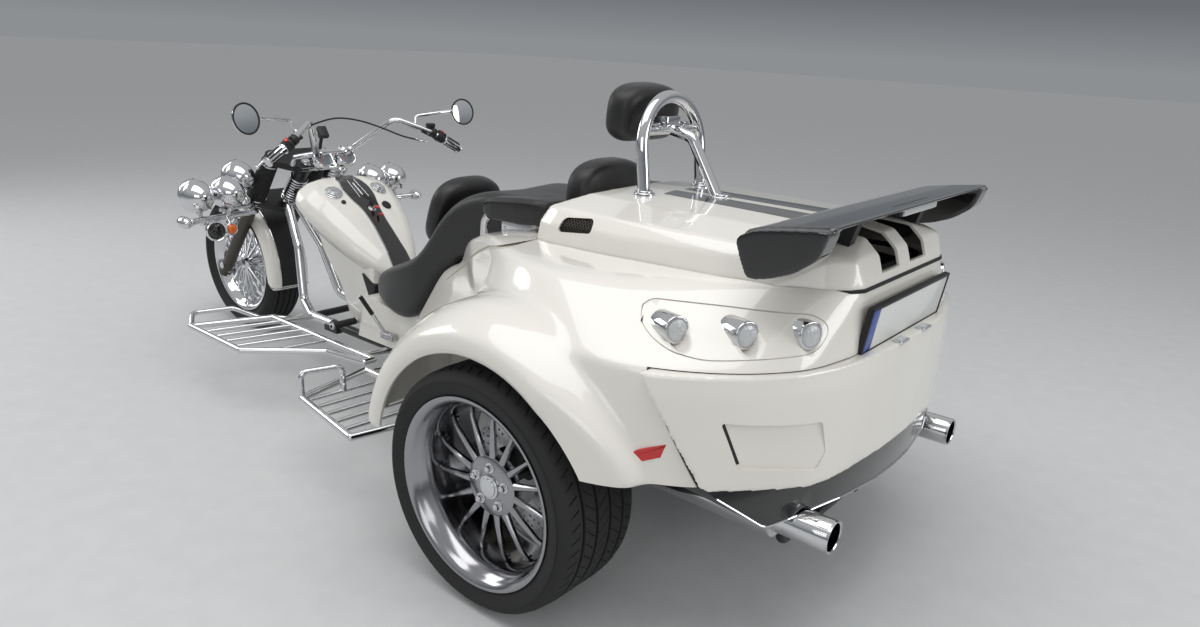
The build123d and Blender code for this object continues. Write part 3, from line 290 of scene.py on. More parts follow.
# %% [markdown]
# Most panels are an outline pulled straight, as a sheet is cut and folded. An outline is drawn on
# the side, or on the plan, and extruded. The operator's defaults for a bevel differ from the
# editor's, so all of its settings are given. Everything is in millimetres in the trike's frame.

# %% Pulled shapes
def polar(radius, degrees):
    """Point of a circle at an angle from its first axis."""
    a = math.radians(degrees)
    return radius * math.cos(a), radius * math.sin(a)


def eased(bm, edges, width, steps):
    """Rounds edges of a shape."""
    bmesh.ops.bevel(bm, geom=edges, offset=width, offset_type="OFFSET", segments=steps, profile=0.5,
                    affect="EDGES", material=-1)


def fresh(count):
    """So many empty shapes."""
    return [bmesh.new() for _ in range(count)]


def pulled(bm, points, along, corner=0.0, steps=4):
    """Solid between an outline and the same outline moved along; its long edges are rounded by corner."""
    corners = [bm.verts.new(p) for p in points]
    loop = [bm.edges.new(ends) for ends in zip(corners, corners[1:] + corners[:1])]
    start = bmesh.ops.contextual_create(bm, geom=loop)["faces"][0]
    extruded = bmesh.ops.extrude_face_region(bm, geom=[start])
    moved = [e for e in extruded["geom"] if isinstance(e, bmesh.types.BMVert)]
    bmesh.ops.translate(bm, vec=along, verts=moved)
    if corner:
        way = Vector(along).normalized()
        ends = {e for v in moved for e in v.link_edges}
        lengthwise = [e for e in ends if abs((e.verts[0].co - e.verts[1].co).normalized().dot(way)) > 0.999]
        eased(bm, lengthwise, corner, steps)
    return bm


def side_solid(points, y0, y1, corner=0.0, steps=4):
    """Side outline of X and Z, pulled from y0 to y1."""
    return pulled(bmesh.new(), [(x, y0, z) for x, z in points], (0, y1 - y0, 0), corner, steps)


def plan_solid(points, z0, z1, corner=0.0, steps=4):
    """Plan outline of X and Y, pulled from z0 to z1."""
    return pulled(bmesh.new(), [(x, y, z0) for x, y in points], (0, 0, z1 - z0), corner, steps)


def both(points):
    """Closes a half outline by its mirror: the second number changes sign."""
    return list(points) + [(x, -y) for x, y in reversed(points)]


# %% [markdown]
# A moulding has no flat faces to pull. Its form is the convex hull round a few outlines, which
# stretches over them like a skin. Turned parts, such as tyres, rims and lamps, are a section
# spun about an axis, and tubes are circles bridged along a path whose corners are rounded.

# %% Hulled, spun and swept shapes
def hulled(points, mirror=True):
    """Tightest solid round points of X, Y and Z, and round their mirror points."""
    bm = bmesh.new()
    for x, y, z in points:
        for s in ((1, -1) if mirror else (1,)):
            bm.verts.new((x, s * y, z))
    made = bmesh.ops.convex_hull(bm, input=bm.verts[:])
    inner = [g for g in made["geom_interior"] if isinstance(g, bmesh.types.BMVert)]
    bmesh.ops.delete(bm, geom=inner, context="VERTS")
    return bm


def levels(*rows):
    """Points of several half plans: each row is a height, or a rule for it from X, and the half plan."""
    return [(x, y, z(x) if callable(z) else z) for z, half in rows for x, y in half]


def spun(profile, centre=(0, 0, 0), axis=(0, 1, 0), start=0.0, sweep=360.0, steps=96):
    """Closed section, given as distance along the axis and radius, turned about the axis."""
    bm = bmesh.new()
    axis = Vector(axis)
    across = Vector((1, 0, 0)) if abs(axis.x) < 0.9 else Vector((0, 0, 1))
    out = Matrix.Rotation(math.radians(start), 3, axis) @ across
    ring = [bm.verts.new(Vector(centre) + axis * a + out * r) for a, r in profile]
    edges = [bm.edges.new((p, q)) for p, q in zip(ring, ring[1:] + ring[:1])]
    whole = abs(sweep) >= 360
    geom = ring + edges
    if not whole:
        geom += bmesh.ops.contextual_create(bm, geom=edges)["faces"]
    made = bmesh.ops.spin(bm, geom=geom, cent=centre, axis=axis, angle=math.radians(sweep), steps=steps,
                          use_merge=whole, use_duplicate=False)
    last = made["geom_last"]
    if not whole and not [f for f in last if isinstance(f, bmesh.types.BMFace)]:
        bmesh.ops.contextual_create(bm, geom=[e for e in last if isinstance(e, bmesh.types.BMEdge)])
    return bm


def rounded_path(points, bend, steps):
    """The path with each inner corner replaced by points of an arc."""
    line = [points[0]]
    for before, here, after in zip(points, points[1:], points[2:]):
        a, b = (before - here), (after - here)
        angle = a.angle(b)
        reach = min(bend / math.tan(angle / 2), a.length * 0.49, b.length * 0.49)
        if reach < 0.5 or angle > 3.1:
            line.append(here)
            continue
        p, q = here + a.normalized() * reach, here + b.normalized() * reach
        for k in range(steps + 1):
            t = k / steps
            line.append(p * (1 - t) ** 2 + here * 2 * t * (1 - t) + q * t ** 2)
    return line + [points[-1]]


def swept(bm, path, radius, bend=30.0, segments=16, steps=5):
    """Round tube along a path of corners, each corner turned on a bend of that radius."""
    line = rounded_path([Vector(p) for p in path], bend, steps)
    rings = []
    side = None
    for i, here in enumerate(line):
        ahead = (line[min(i + 1, len(line) - 1)] - line[max(i - 1, 0)]).normalized()
        if side is None:
            side = ahead.orthogonal().normalized()
        side = (side - ahead * side.dot(ahead)).normalized()
        turn = Matrix((side, ahead.cross(side), ahead)).transposed().to_4x4()
        size = radius(i / (len(line) - 1)) if callable(radius) else radius
        ring = bmesh.ops.create_circle(bm, cap_ends=False, segments=segments, radius=size,
                                       matrix=Matrix.Translation(here) @ turn)["verts"]
        rings.append(ring)
    for low, high in zip(rings, rings[1:]):
        edges = [e for v in low for e in v.link_edges if e.other_vert(v) in low]
        edges += [e for v in high for e in v.link_edges if e.other_vert(v) in high]
        bmesh.ops.bridge_loops(bm, edges=list(set(edges)))
    for ring in (rings[0], rings[-1]):
        bmesh.ops.contextual_create(bm, geom=ring)
    return bm


# %% [markdown]
# Bolts, bosses and brackets are plain solids: a bar between two points, a box by its corners, a
# ball. A part made about the origin along +Z, as on a lathe, is then moved to its place.

# %% Bars, boxes, balls and lathe work
def facing(at, way):
    """Matrix that puts a shape made along +Z at a point, looking a way."""
    return Matrix.Translation(at) @ Vector(way).to_track_quat("Z", "Y").to_matrix().to_4x4()


def cylinder(bm, a, b, radius, segments=24, bevel=0.0):
    """Round bar from a to b."""
    a, b = Vector(a), Vector(b)
    made = bmesh.ops.create_cone(bm, cap_ends=True, segments=segments, radius1=radius, radius2=radius,
                                 depth=(b - a).length, matrix=facing((a + b) / 2, b - a))["verts"]
    if bevel:
        rims = {e for v in made for e in v.link_edges if len(e.link_faces) == 2
                and any(len(f.verts) > 4 for f in e.link_faces)}
        eased(bm, list(rims), bevel, 3)
    return bm


def block(bm, x0, x1, y0, y1, z0, z1, bevel=0.0, segments=2):
    """Box by its corners, its edges rounded."""
    place = Matrix.Translation(((x0 + x1) / 2, (y0 + y1) / 2, (z0 + z1) / 2))
    place = place @ Matrix.Diagonal((abs(x1 - x0), abs(y1 - y0), abs(z1 - z0), 1))
    made = bmesh.ops.create_cube(bm, size=1.0, matrix=place)["verts"]
    if bevel:
        eased(bm, list({e for v in made for e in v.link_edges}), bevel, segments)
    return bm


def ball(bm, centre, radius, stretch=(1, 1, 1), turn=None, segments=24):
    """Sphere or, stretched and turned, an egg."""
    place = Matrix.Translation(centre) @ (turn or Matrix.Identity(4)) @ Matrix.Diagonal((*stretch, 1))
    rings = segments * 2 // 3
    bmesh.ops.create_uvsphere(bm, u_segments=segments, v_segments=rings, radius=radius, matrix=place)
    return bm


def joined(bm, other, matrix=None):
    """Adds another shape, moved by a matrix, and frees it."""
    if matrix:
        bmesh.ops.transform(other, matrix=matrix, verts=other.verts[:])
    mesh = bpy.data.meshes.new("joined")
    other.to_mesh(mesh)
    bm.from_mesh(mesh)
    bpy.data.meshes.remove(mesh)
    other.free()
    return bm


def lathed(bm, profile, place, steps=48):
    """Adds a section of height and radius, turned about +Z and put in its place."""
    return joined(bm, spun(profile, axis=(0, 0, 1), steps=steps), place)


# %% [markdown]
# What is left or right of the middle is made once and mirrored. A mirrored shape is inside out,
# so its faces are reversed. A shape then becomes an object, and objects can be cut with each
# other: the manifold solver is the fast one, and it needs closed solids that don't overlap
# themselves. Remeshing and smoothing melt edges as a mould does.

# %% Solids as objects
def reflected(bm, verts, faces):
    """Turns geometry of a shape over to the right side."""
    bmesh.ops.scale(bm, vec=(1, -1, 1), verts=verts)
    bmesh.ops.reverse_faces(bm, faces=faces)
    return bm


def mirrored(bm):
    """Adds the other side's copy of everything."""
    copy = bmesh.ops.duplicate(bm, geom=bm.verts[:] + bm.edges[:] + bm.faces[:])["geom"]
    return reflected(bm, [e for e in copy if isinstance(e, bmesh.types.BMVert)],
                     [e for e in copy if isinstance(e, bmesh.types.BMFace)])


def cleaned(bm):
    """The shape with its doubles merged and its faces outward."""
    bmesh.ops.remove_doubles(bm, verts=bm.verts, dist=0.01)
    bmesh.ops.recalc_face_normals(bm, faces=bm.faces)
    return bm


def loose(bm, name):
    """The shape as an object of its own, still in millimetres."""
    cleaned(bm)
    mesh = bpy.data.meshes.new(name)
    bm.to_mesh(mesh)
    bm.free()
    thing = bpy.data.objects.new(name, mesh)
    bpy.context.scene.collection.objects.link(thing)
    return thing


def baked(thing):
    """Applies the modifiers."""
    graph = bpy.context.evaluated_depsgraph_get()
    mesh = bpy.data.meshes.new_from_object(thing.evaluated_get(graph))
    thing.modifiers.clear()
    thing.data = mesh
    return thing


def combined(thing, others, how, keep=False):
    """Boolean of one solid with others: UNION, DIFFERENCE or INTERSECT."""
    for other in others:
        cut = thing.modifiers.new("cut", "BOOLEAN")
        cut.object, cut.operation, cut.solver = other, how, "MANIFOLD"
        baked(thing)
        if not keep:
            bpy.data.objects.remove(other)
    return thing


def other_side(thing):
    """Copy mirrored to the right side."""
    bm = bmesh.new()
    bm.from_mesh(thing.data)
    return loose(reflected(bm, bm.verts[:], bm.faces[:]), thing.name + "_right")


def pair(thing):
    """A left piece with its right-hand copy in one object."""
    return combined(thing, [other_side(thing)], "UNION")


def softened(thing, voxel, rounds, share=1.0):
    """Remeshes a solid to an even grid and smooths it; share is the part of its faces that is kept."""
    grid = thing.modifiers.new("grid", "REMESH")
    grid.mode, grid.voxel_size = "VOXEL", voxel
    relax = thing.modifiers.new("relax", "SMOOTH")
    relax.factor, relax.iterations = 0.5, rounds
    if share < 1:
        thing.modifiers.new("thin", "DECIMATE").ratio = share
    return baked(thing)


def edged(thing, width, degrees):
    """Rounds every edge that is sharper than an angle."""
    bevel = thing.modifiers.new("edge", "BEVEL")
    bevel.width, bevel.segments, bevel.limit_method = width, 3, "ANGLE"
    bevel.angle_limit = math.radians(degrees)
    return baked(thing)


def grown(thing, by, name, drop=False):
    """Copy of a solid pushed out along its normals, or in where by is negative."""
    copy = bpy.data.objects.new(name, thing.data.copy())
    bpy.context.scene.collection.objects.link(copy)
    push = copy.modifiers.new("push", "DISPLACE")
    push.strength, push.mid_level = by, 0.0
    if drop:
        bpy.data.objects.remove(thing)
    return baked(copy)


def shown(thing, material, body, stands_for=(), sharp=35.0, slot=None):
    """Finished piece: in metres, shaded, painted, riding on its body; slot is not used."""
    mesh = thing.data
    mesh.transform(Matrix.Scale(MM, 4))
    mesh.polygons.foreach_set("use_smooth", [True] * len(mesh.polygons))
    mesh.set_sharp_from_angle(angle=math.radians(sharp))
    mesh.materials.clear()
    mesh.materials.append(material)
    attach(thing, body)
    if stands_for:
        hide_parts(*stands_for)
    print(thing.name, len(mesh.polygons), "faces")


def piece(bm, name, *finish, **more):
    """Finished piece straight from a shape."""
    shown(loose(bm, name), *finish, **more)

# %% [markdown]
# The rear body is one fibreglass moulding: sides that lean in to a deck, two bulging wheel arches
# and a tapered tail. A mould has no sharp outside edges. So four plan outlines are hulled, the
# arches are joined on, and the whole is remeshed and smoothed, which melts them together.
# Openings, grooves and the lid's rebate are cut afterwards, so they stay crisp.

# %% Lines of the rear body
AXLE_X, AXLE_Z = -1045.0, 339.0
SEAM_LOW, SEAM_RISE, LID_FRONT, LID_REAR = 908.0, 38.0, -820.0, -1766.0
SKIRT_PLAN = ((-300, 215), (-420, 290), (-640, 500), (-850, 645), (-1050, 740), (-1250, 768), (-1440, 752),
              (-1600, 665), (-1725, 500), (-1774, 300))
WAIST_PLAN = ((-300, 215), (-420, 285), (-640, 480), (-850, 620), (-1050, 718), (-1250, 757), (-1440, 745),
              (-1615, 640), (-1735, 480), (-1774, 300))
DECK_PLAN = ((-300, 190), (-420, 255), (-640, 412), (-850, 548), (-1040, 612), (-1250, 590), (-1460, 516),
             (-1580, 446), (-1725, 320), (-1766, 250))
CROWN_PLAN = ((-420, 180), (-640, 290), (-850, 405), (-1060, 424), (-1460, 415), (-1600, 392), (-1725, 320),
              (-1762, 250))
SKIRT_Z, WAIST_Z, DECK_Z = 480, 780, 905
FRONT_SLOPE = ((-292, 430), (-292, 690), (-340, 722), (-368, 772), (-440, 828), (-573, 880), (-680, 902),
               (-820, 914), (-820, 1100), (-1900, 1100), (-1900, 440))
SEAT_HALF = 237
SEAT_FLANK = ((-50, 425), (-111, 506), (-161, 576), (-196, 634), (-230, 672), (-284, 704))
FLANK_OUTER = ((-465, SEAT_HALF, 752), (-627, 300, 838), (-760, 592, 440), (-760, 580, 740), (-760, 500, 846),
               (-420, 360, 425))
FENDER_SECTION = ((506, 350), (506, 494), (600, 500), (700, 500), (750, 494), (800, 476), (838, 452),
                  (858, 436), (866, 418), (866, 381), (846, 379), (846, 350))
FENDER_PLAN = ((-200, 880), (-1120, 880), (-1300, 856), (-1470, 796), (-1600, 690))
BODY_REACH = 900


def seam_z(x):
    """Height of the seam between body and lid."""
    return SEAM_LOW + SEAM_RISE * (LID_FRONT - x) / (LID_FRONT - LID_REAR)


def curve(points, per=6):
    """Points of a smooth curve through the given ones."""
    path = [Vector(p) for p in points]
    path = [path[0] * 2 - path[1]] + path + [path[-1] * 2 - path[-2]]
    line = []
    for a, b, c, d in zip(path, path[1:], path[2:], path[3:]):
        for k in range(per):
            t = k / per
            line.append((b * 2 + (c - a) * t + (a * 2 - b * 5 + c * 4 - d) * t * t
                         + (b * 3 - a - c * 3 + d) * t ** 3) * 0.5)
    return [tuple(p) for p in line] + [tuple(path[-2])]


def body_form():
    """Smooth outer form of the moulding: deck, nose, flank beside the saddle and arches."""
    skirt, waist, deck, crown = [curve(plan) for plan in (SKIRT_PLAN, WAIST_PLAN, DECK_PLAN, CROWN_PLAN)]
    rear = levels((SKIRT_Z, skirt[6:]), (WAIST_Z, waist[6:]), (DECK_Z, deck[6:]),
                  (lambda x: seam_z(x) + 4, crown))
    top = loose(hulled(rear), "body_panels")
    nose = levels((SKIRT_Z, skirt[:19]), (WAIST_Z, waist[:19]), (DECK_Z, deck[:19]))
    combined(top, [loose(hulled(nose), "nose")], "UNION")
    combined(top, [loose(side_solid(FRONT_SLOPE, -BODY_REACH, BODY_REACH), "slope")], "INTERSECT")
    edge = [(x, SEAT_HALF, z) for x, z in SEAT_FLANK] + [(-50, 0, 425), (-284, 0, 704)]
    combined(top, [loose(hulled(edge + list(FLANK_OUTER)), "flank")], "UNION")
    ring = spun(FENDER_SECTION, (AXLE_X, 0, AXLE_Z), start=-9, sweep=-151, steps=56)
    arch = loose(mirrored(ring), "arches")
    combined(arch, [loose(plan_solid(both(curve(FENDER_PLAN)), 250, 950), "arch_plan")], "INTERSECT")
    combined(top, [arch], "UNION")
    return softened(top, 7.5, 26)


print("arches centred at", AXLE_X, AXLE_Z)

# %% [markdown]
# The lamps sit in scoops of the tail, and a thin groove frames them. A panel that looks out at an
# angle is a prism over an outline, pushed into the body along the panel's own normal.

# %% Lamp scoops and panel groove
TAIL_LAMPS = ((-1475, 620, 850), (-1612, 540, 853), (-1717, 436, 856))
LAMP_R = 34.0
PANEL = ((-233, 866), (-208, 893), (-11, 897), (168, 897), (208, 866), (168, 816), (-102, 803), (-178, 812),
         (-226, 840))
PANEL_AT, PANEL_TURN = (-1615, 540, 0), 45


def lamp_frame(x, y, z, s, turn):
    """Place of a lamp and its axis, which looks to the rear and a little out."""
    a = math.radians(turn)
    out = Vector((-math.sin(a), s * math.cos(a), 0.05)).normalized()
    return Vector((x, s * y, z)), out


def pockets():
    """Scoops behind the tail lamps, deep at the lamp and fading to the rear."""
    bm = bmesh.new()
    for s in (1, -1):
        for x, y, z in TAIL_LAMPS:
            at, out = lamp_frame(x, y, z, s, 58)
            turn = out.to_track_quat("X", "Z").to_matrix().to_4x4()
            ball(bm, at + out * 38, LAMP_R + 6, (1.9, 0.66, 1.04), turn, 32)
    return bm


def slanted(outline, middle, turn, back, out, corner, name):
    """Prism over an outline of distance to the rear and height, along a level normal turned to the rear."""
    a = math.radians(turn)
    normal = Vector((-math.sin(a), math.cos(a), 0))
    way = Vector((-math.cos(a), -math.sin(a), 0))
    points = [Vector(middle) + way * u + Vector((0, 0, v)) - normal * back for u, v in outline]
    return loose(pulled(bmesh.new(), points, normal * (back + out), corner, 5), name)


def panel_groove(under):
    """Thin groove round the lamp panel, as deep as the gap between the body and its shrunken copy."""
    outer = slanted(PANEL, PANEL_AT, PANEL_TURN, 150, 120, 24, "panel_outer")
    small = [(u * 0.988 - 0.1, 850 + (v - 850) * 0.947) for u, v in PANEL]
    inner = slanted(small, PANEL_AT, PANEL_TURN, 160, 130, 22, "panel_inner")
    return pair(combined(outer, [inner, under], "DIFFERENCE"))


print(len(TAIL_LAMPS), "lamps on each side")

# %% [markdown]
# The lid is a second moulding over the luggage room. Body and lid share one form, which is
# grown a little where it cuts the body's rebate, so the gap round the lid is even. A black lip
# fills the foot of that gap: the rubber seal, and painted shade that darkens the gap. A trimmed
# tub with a rubber edge lines the room.

# %% Lid form, seal and luggage tub
LID_GAP = 3.6
LID_DROP = -12
LID_SEAM = ((LID_FRONT, 396), (-870, 412), (-1100, 425), (-1460, 421), (-1600, 398), (-1700, 345),
            (-1745, 305), (LID_REAR, 262))
LID_FLANK = ((LID_FRONT - 4, 386), (-880, 402), (-1100, 412), (-1460, 404), (-1590, 380), (-1690, 330),
             (-1742, 280))
LID_SHOULDER = ((LID_FRONT - 26, 366), (-890, 378), (-1100, 384), (-1460, 378), (-1590, 356), (-1690, 306),
                (-1728, 262))
LID_RIDGE = ((LID_FRONT - 70, 240), (-1100, 250), (-1460, 240), (-1640, 200), (-1700, 150))
LID_TOP = ((LID_FRONT - 90, 40), (-1100, 60), (-1460, 60), (-1640, 40))
TUB_PLAN = ((-872, 0), (-872, 372), (-1560, 372), (-1636, 344), (-1684, 296), (-1700, 0))
TUB_FLOOR = ((-885, 0), (-885, 366), (-1540, 366), (-1600, 340), (-1655, 290), (-1664, 0))


def lid_form(low, grow=0.0):
    """Outer form of the lid, from low above the seam over a flank crease and a shoulder to the crown."""
    points = levels((lambda x: seam_z(x) + low, LID_SEAM), (lambda x: seam_z(x) + 58, LID_FLANK),
                    (lambda x: 1018 - 0.012 * abs(x + 1400), LID_SHOULDER), (1040, LID_RIDGE),
                    (1050, LID_TOP))
    form = softened(loose(hulled(points), "lid_form"), 6.0, 7, 0.4)
    return grown(form, grow, "lid_rebate", drop=True) if grow else form


def lid_seal_and_gap_shade():
    """Black lip that fills the foot of the gap round the lid: the rubber seal, and painted shade that darkens
    the gap.
    """
    ring = lid_form(LID_DROP, LID_GAP + 0.3)
    x0, x1 = LID_FRONT + 60, LID_REAR - 60
    slab = ((x0, seam_z(x0) - 16), (x0, seam_z(x0) - 3), (x1, seam_z(x1) - 3), (x1, seam_z(x1) - 16))
    combined(ring, [loose(side_solid(slab, -600, 600), "slab")], "INTERSECT")
    combined(ring, [grown(lid_form(-30), 0.5, "lip_inside", drop=True)], "DIFFERENCE")
    ring.name = "lid_seal_and_gap_shade"
    shown(ring, rubber, "body")


def luggage_tub():
    """Trimmed tub inside the shell, seen when the lid is open."""
    wall = 6
    high, low = [[(x + (wall if x < -1200 else -wall), max(0, y - wall)) for x, y in plan]
                 for plan in (TUB_PLAN, TUB_FLOOR)]
    tub = loose(hulled(levels((898, TUB_PLAN), (634, TUB_FLOOR))), "luggage_tub")
    combined(tub, [loose(hulled(levels((960, high), (634 + wall, low))), "room")], "DIFFERENCE")
    shown(tub, plastic, "body")
    path = [Vector((x, y, seam_z(x) - 12)) for x, y in TUB_PLAN[1:5]]
    path = path + [Vector((p.x, -p.y, p.z)) for p in reversed(path)] + [path[0]]
    piece(swept(bmesh.new(), path, 7, 24, 12, 4), "tub_edging", rubber, "body", sharp=50)


# %% [markdown]
# The bumper is a second moulding that wraps the tail. It stands in a rebate of the body, with an
# even shadow gap, and a black strip at the foot of that gap is painted shade that darkens it.

# %% Bumper form
BUMPER_TOP = ((-1455, 764), (-1516, 735), (-1651, 626), (-1745, 484), (-1800, 296), (-1817, 120))
BUMPER_LOW = ((-1470, 758), (-1560, 706), (-1617, 664), (-1774, 412), (-1813, 218), (-1825, 47))
BUMPER_SIDE = ((-1470, 790), (-1500, 744), (-1617, 500), (-1774, 478), (-1811, 492), (-1860, 500),
               (-1860, 790))
BUMPER_REBATE = ((-1475, 784.5), (-1480, 760), (-1488, 743), (-1605, 495), (-1774, 470), (-1900, 470),
                 (-1900, 784.5))
# Outline of the black strip of painted shade at the foot of the bumper's gap.
BUMPER_GAP_SHADE = ((-1474, 785), (-1479, 760), (-1487, 743), (-1604, 494), (-1616, 497), (-1500, 743),
               (-1494, 775), (-1900, 775), (-1900, 785))
BUMPER_GAP = 2.6


def bumper_form():
    bulge = [(x - 4 if y < 400 else x - 3, y + 6) for x, y in BUMPER_TOP]
    rows = ((782, BUMPER_TOP), (735, bulge), (640, bulge), (470, BUMPER_LOW))
    form = loose(hulled(levels(*[(z, curve(plan)) for z, plan in rows])), "bumper_cover")
    side = loose(side_solid(BUMPER_SIDE, -BODY_REACH, BODY_REACH, 14, 4), "edge")
    combined(form, [side], "INTERSECT")
    return softened(form, 5.0, 9, 0.35)


def bumper_gap_shade(form):
    """Black strip at the foot of the gap between body and bumper: painted shade that darkens the gap."""
    strip = combined(grown(form, -2.2, "bumper_gap_shade"), [grown(form, -9.0, "under")], "DIFFERENCE")
    combined(strip, [loose(side_solid(BUMPER_GAP_SHADE, -BODY_REACH, BODY_REACH), "band")], "INTERSECT")
    shown(strip, rubber, "body")


# %% [markdown]
# Every cut is a solid of its own, subtracted one after another, so no cutter overlaps itself:
# shallow ones for the seams, deep ones for the room, the wheel houses and the saddle's bed.

# %% Cuts of the rear body
PANEL_SEAM = ((-320, 664), (-465, 752), (-560, 803), (-627, 838), (-700, 868), (-830, 905), (-830, 914),
              (-700, 880), (-627, 850), (-560, 814), (-465, 760), (-320, 668))
WELL_SECTION = ((520, 2), (520, 486), (700, 486), (740, 482), (790, 462), (828, 440), (846, 424), (850, 404),
                (850, 2))
ARCH_OPENING_R = 381
HOLLOW_LOW = ((-450, 180), (-640, 392), (-850, 502), (-1500, 502), (-1620, 600), (-1715, 470), (-1758, 290))
HOLLOW_HIGH = ((-450, 170), (-640, 380), (-850, 490), (-1400, 490), (-1560, 460), (-1640, 400), (-1700, 290))
HATCH = ((-872, 378), (-1560, 378), (-1640, 350), (-1690, 300))
SEAT_BED = ((-240, 1100), (-652, 1100), (-662, 905), (-376, 734), (-246, 640), (-150, 484), (-73, 430),
            (-240, 430))
SEAT_BED_HALF = 222


def shallow_cuts(form, bumper):
    """Rebates of bumper and lid, and the grooves, none deeper than 7 mm in the outer skin."""
    cuts = [grown(bumper, BUMPER_GAP, "bumper_rebate"), lid_form(LID_DROP, LID_GAP)]
    cuts.append(panel_groove(grown(form, -3.5, "under")))
    deep = grown(form, -7.0, "deep")
    for outline, reach, name in ((BUMPER_REBATE, BODY_REACH, "rebate"), (PANEL_SEAM, 600, "seam")):
        cut = loose(side_solid(outline, -reach, reach), name)
        cuts.append(combined(cut, [deep], "DIFFERENCE", keep=True))
    # Black strip of painted shade at the foot of the bumper's gap.
    bumper_gap_shade(form)
    bpy.data.objects.remove(deep)
    return cuts


def deep_cuts():
    """Inside of the shell, wheel houses and their openings, lower edge, hatch and saddle's bed."""
    room = levels((300, HOLLOW_LOW), (740, HOLLOW_LOW), (870, HOLLOW_HIGH))
    cuts = [loose(hulled(room), "hollow")]
    well = loose(mirrored(spun(WELL_SECTION, (AXLE_X, 0, AXLE_Z))), "wells")
    inside = [(x, y - 18) for x, y in curve(FENDER_PLAN)]
    cuts.append(combined(well, [loose(plan_solid(both(inside), -300, 950), "well_plan")], "INTERSECT"))
    openings, edge = fresh(2)
    for s in (1, -1):
        cylinder(openings, (AXLE_X, s * 560, AXLE_Z), (AXLE_X, s * BODY_REACH, AXLE_Z), ARCH_OPENING_R, 128)
        block(edge, -1800, -1382, s * 620, s * BODY_REACH, 380, 506)
    block(edge, -1900, -1625, -619, 619, 380, 508)
    cuts += [loose(openings, "openings"), loose(edge, "edge_cut")]
    cuts.append(loose(plan_solid(both(HATCH), 700, 1000), "hatch"))
    cuts.append(loose(side_solid(SEAT_BED, -SEAT_BED_HALF, SEAT_BED_HALF), "seat_bed"))
    return cuts


def rear_body():
    form = combined(body_form(), [loose(pockets(), "pockets")], "DIFFERENCE")
    softened(form, 6.5, 3, 0.36)
    bumper = bumper_form()
    cuts = shallow_cuts(form, bumper)
    combined(form, cuts + deep_cuts(), "DIFFERENCE")
    # Black lip in the lid's gap: the rubber seal, and painted shade that darkens the gap.
    lid_seal_and_gap_shade()
    luggage_tub()
    return form, bumper


body_panels, bumper = rear_body()
shown(body_panels, white, "body", ("body_shell",), 30)

# %% [markdown]
# The bumper is hollow: its room is cut by two hulls, a wide low one and a narrow deep one. Each
# end has a pressed recess whose floor is one plane, so it fades out where the bumper curves into
# it, and a black slot at its front.

# %% Bumper
BUMPER_ROOMS = ((32, 0.95, 752), (62, 0.91, 850))
RECESS_AT, RECESS_TURN = (-1707, 514, 0), 58.5
RECESS = ((-152, 676), (118, 652), (144, 566), (122, 524), (-98, 556))
RECESS_MOUTH = ((-149, 672), (-137, 671), (-86, 562), (-97, 560))


def rear_trim(cover):
    for inset, share, top in BUMPER_ROOMS:
        plan = [(x + inset, y * share) for x, y in curve(BUMPER_TOP)]
        plan = [(-1300, plan[0][1])] + plan
        combined(cover, [loose(hulled(levels((430, plan), (top, plan))), "room")], "DIFFERENCE")
    recess = slanted(RECESS, RECESS_AT, RECESS_TURN, 0, 160, 10, "recess")
    slot = slanted(RECESS_MOUTH, RECESS_AT, RECESS_TURN, 9, 4, 0, "slot")
    combined(cover, [pair(recess), pair(slot)], "DIFFERENCE")
    shown(cover, white, "body", ("rear_bumper",), 30)
    fill = slanted(RECESS_MOUTH, RECESS_AT, RECESS_TURN, 9, -1, 0, "bumper_slots")
    shown(pair(fill), plastic, "body")


rear_trim(bumper)

# %% [markdown]
# Below the bumper hangs a gloss black diffuser with a bright lower edge. It is hulled from its
# two edges, hollowed by a moved copy of the same points, and notched round both exhaust tips.

# %% Diffuser and exhaust tips
DIFFUSER_EDGE = ((-1640, 636, 480), (-1718, 532, 392), (-1750, 474, 404), (-1797, 290, 408),
                 (-1818, 120, 404), (-1822, 0, 404))
DIFFUSER_TOP = ((-1560, 690, 512), (-1612, 656, 504), (-1768, 408, 484), (-1806, 216, 496), (-1818, 0, 502))
EXHAUST_Y, EXHAUST_Z = 421, 372
TIP_REAR = -1849.5
TIP_SECTION = ((0, 39), (6, 42.5), (120, 42.5), (150, 36), (150, 33), (8, 37), (2, 36.5))


def diffuser():
    front = ((-1520, 560, 500), (-1600, 400, 404), (-1600, 0, 404))
    form = loose(hulled(DIFFUSER_TOP + DIFFUSER_EDGE + front), "diffuser_blade")
    inside = [(x + 16, y * 0.97, z - 18) for x, y, z in DIFFUSER_TOP + DIFFUSER_EDGE]
    inside += [(-1480, 560, 470), (-1480, 0, 380), (-1480, 400, 380), (-1480, 0, 500)]
    notches = bmesh.new()
    for s in (1, -1):
        cylinder(notches, (-1900, s * EXHAUST_Y, EXHAUST_Z), (-1500, s * EXHAUST_Y, EXHAUST_Z), 49, 48)
    combined(form, [loose(hulled(inside), "inside"), loose(notches, "notches")], "DIFFERENCE")
    shown(edged(form, 3.0, 30), black_gloss, "body", ("diffuser",))
    edge = list(DIFFUSER_EDGE) + [(x, -y, z) for x, y, z in reversed(DIFFUSER_EDGE[:-1])]
    piece(swept(bmesh.new(), edge, 2.6, 40, 8), "diffuser_edge", chrome, "body")


def exhaust_tips():
    """Tips with a rolled mouth, bored through, on the pipes of the frame."""
    bm = bmesh.new()
    for s in (1, -1):
        joined(bm, spun(TIP_SECTION, (TIP_REAR, s * EXHAUST_Y, EXHAUST_Z), (1, 0, 0), steps=64))
    piece(bm, "exhaust_tips", chrome, "body")


diffuser()
exhaust_tips()

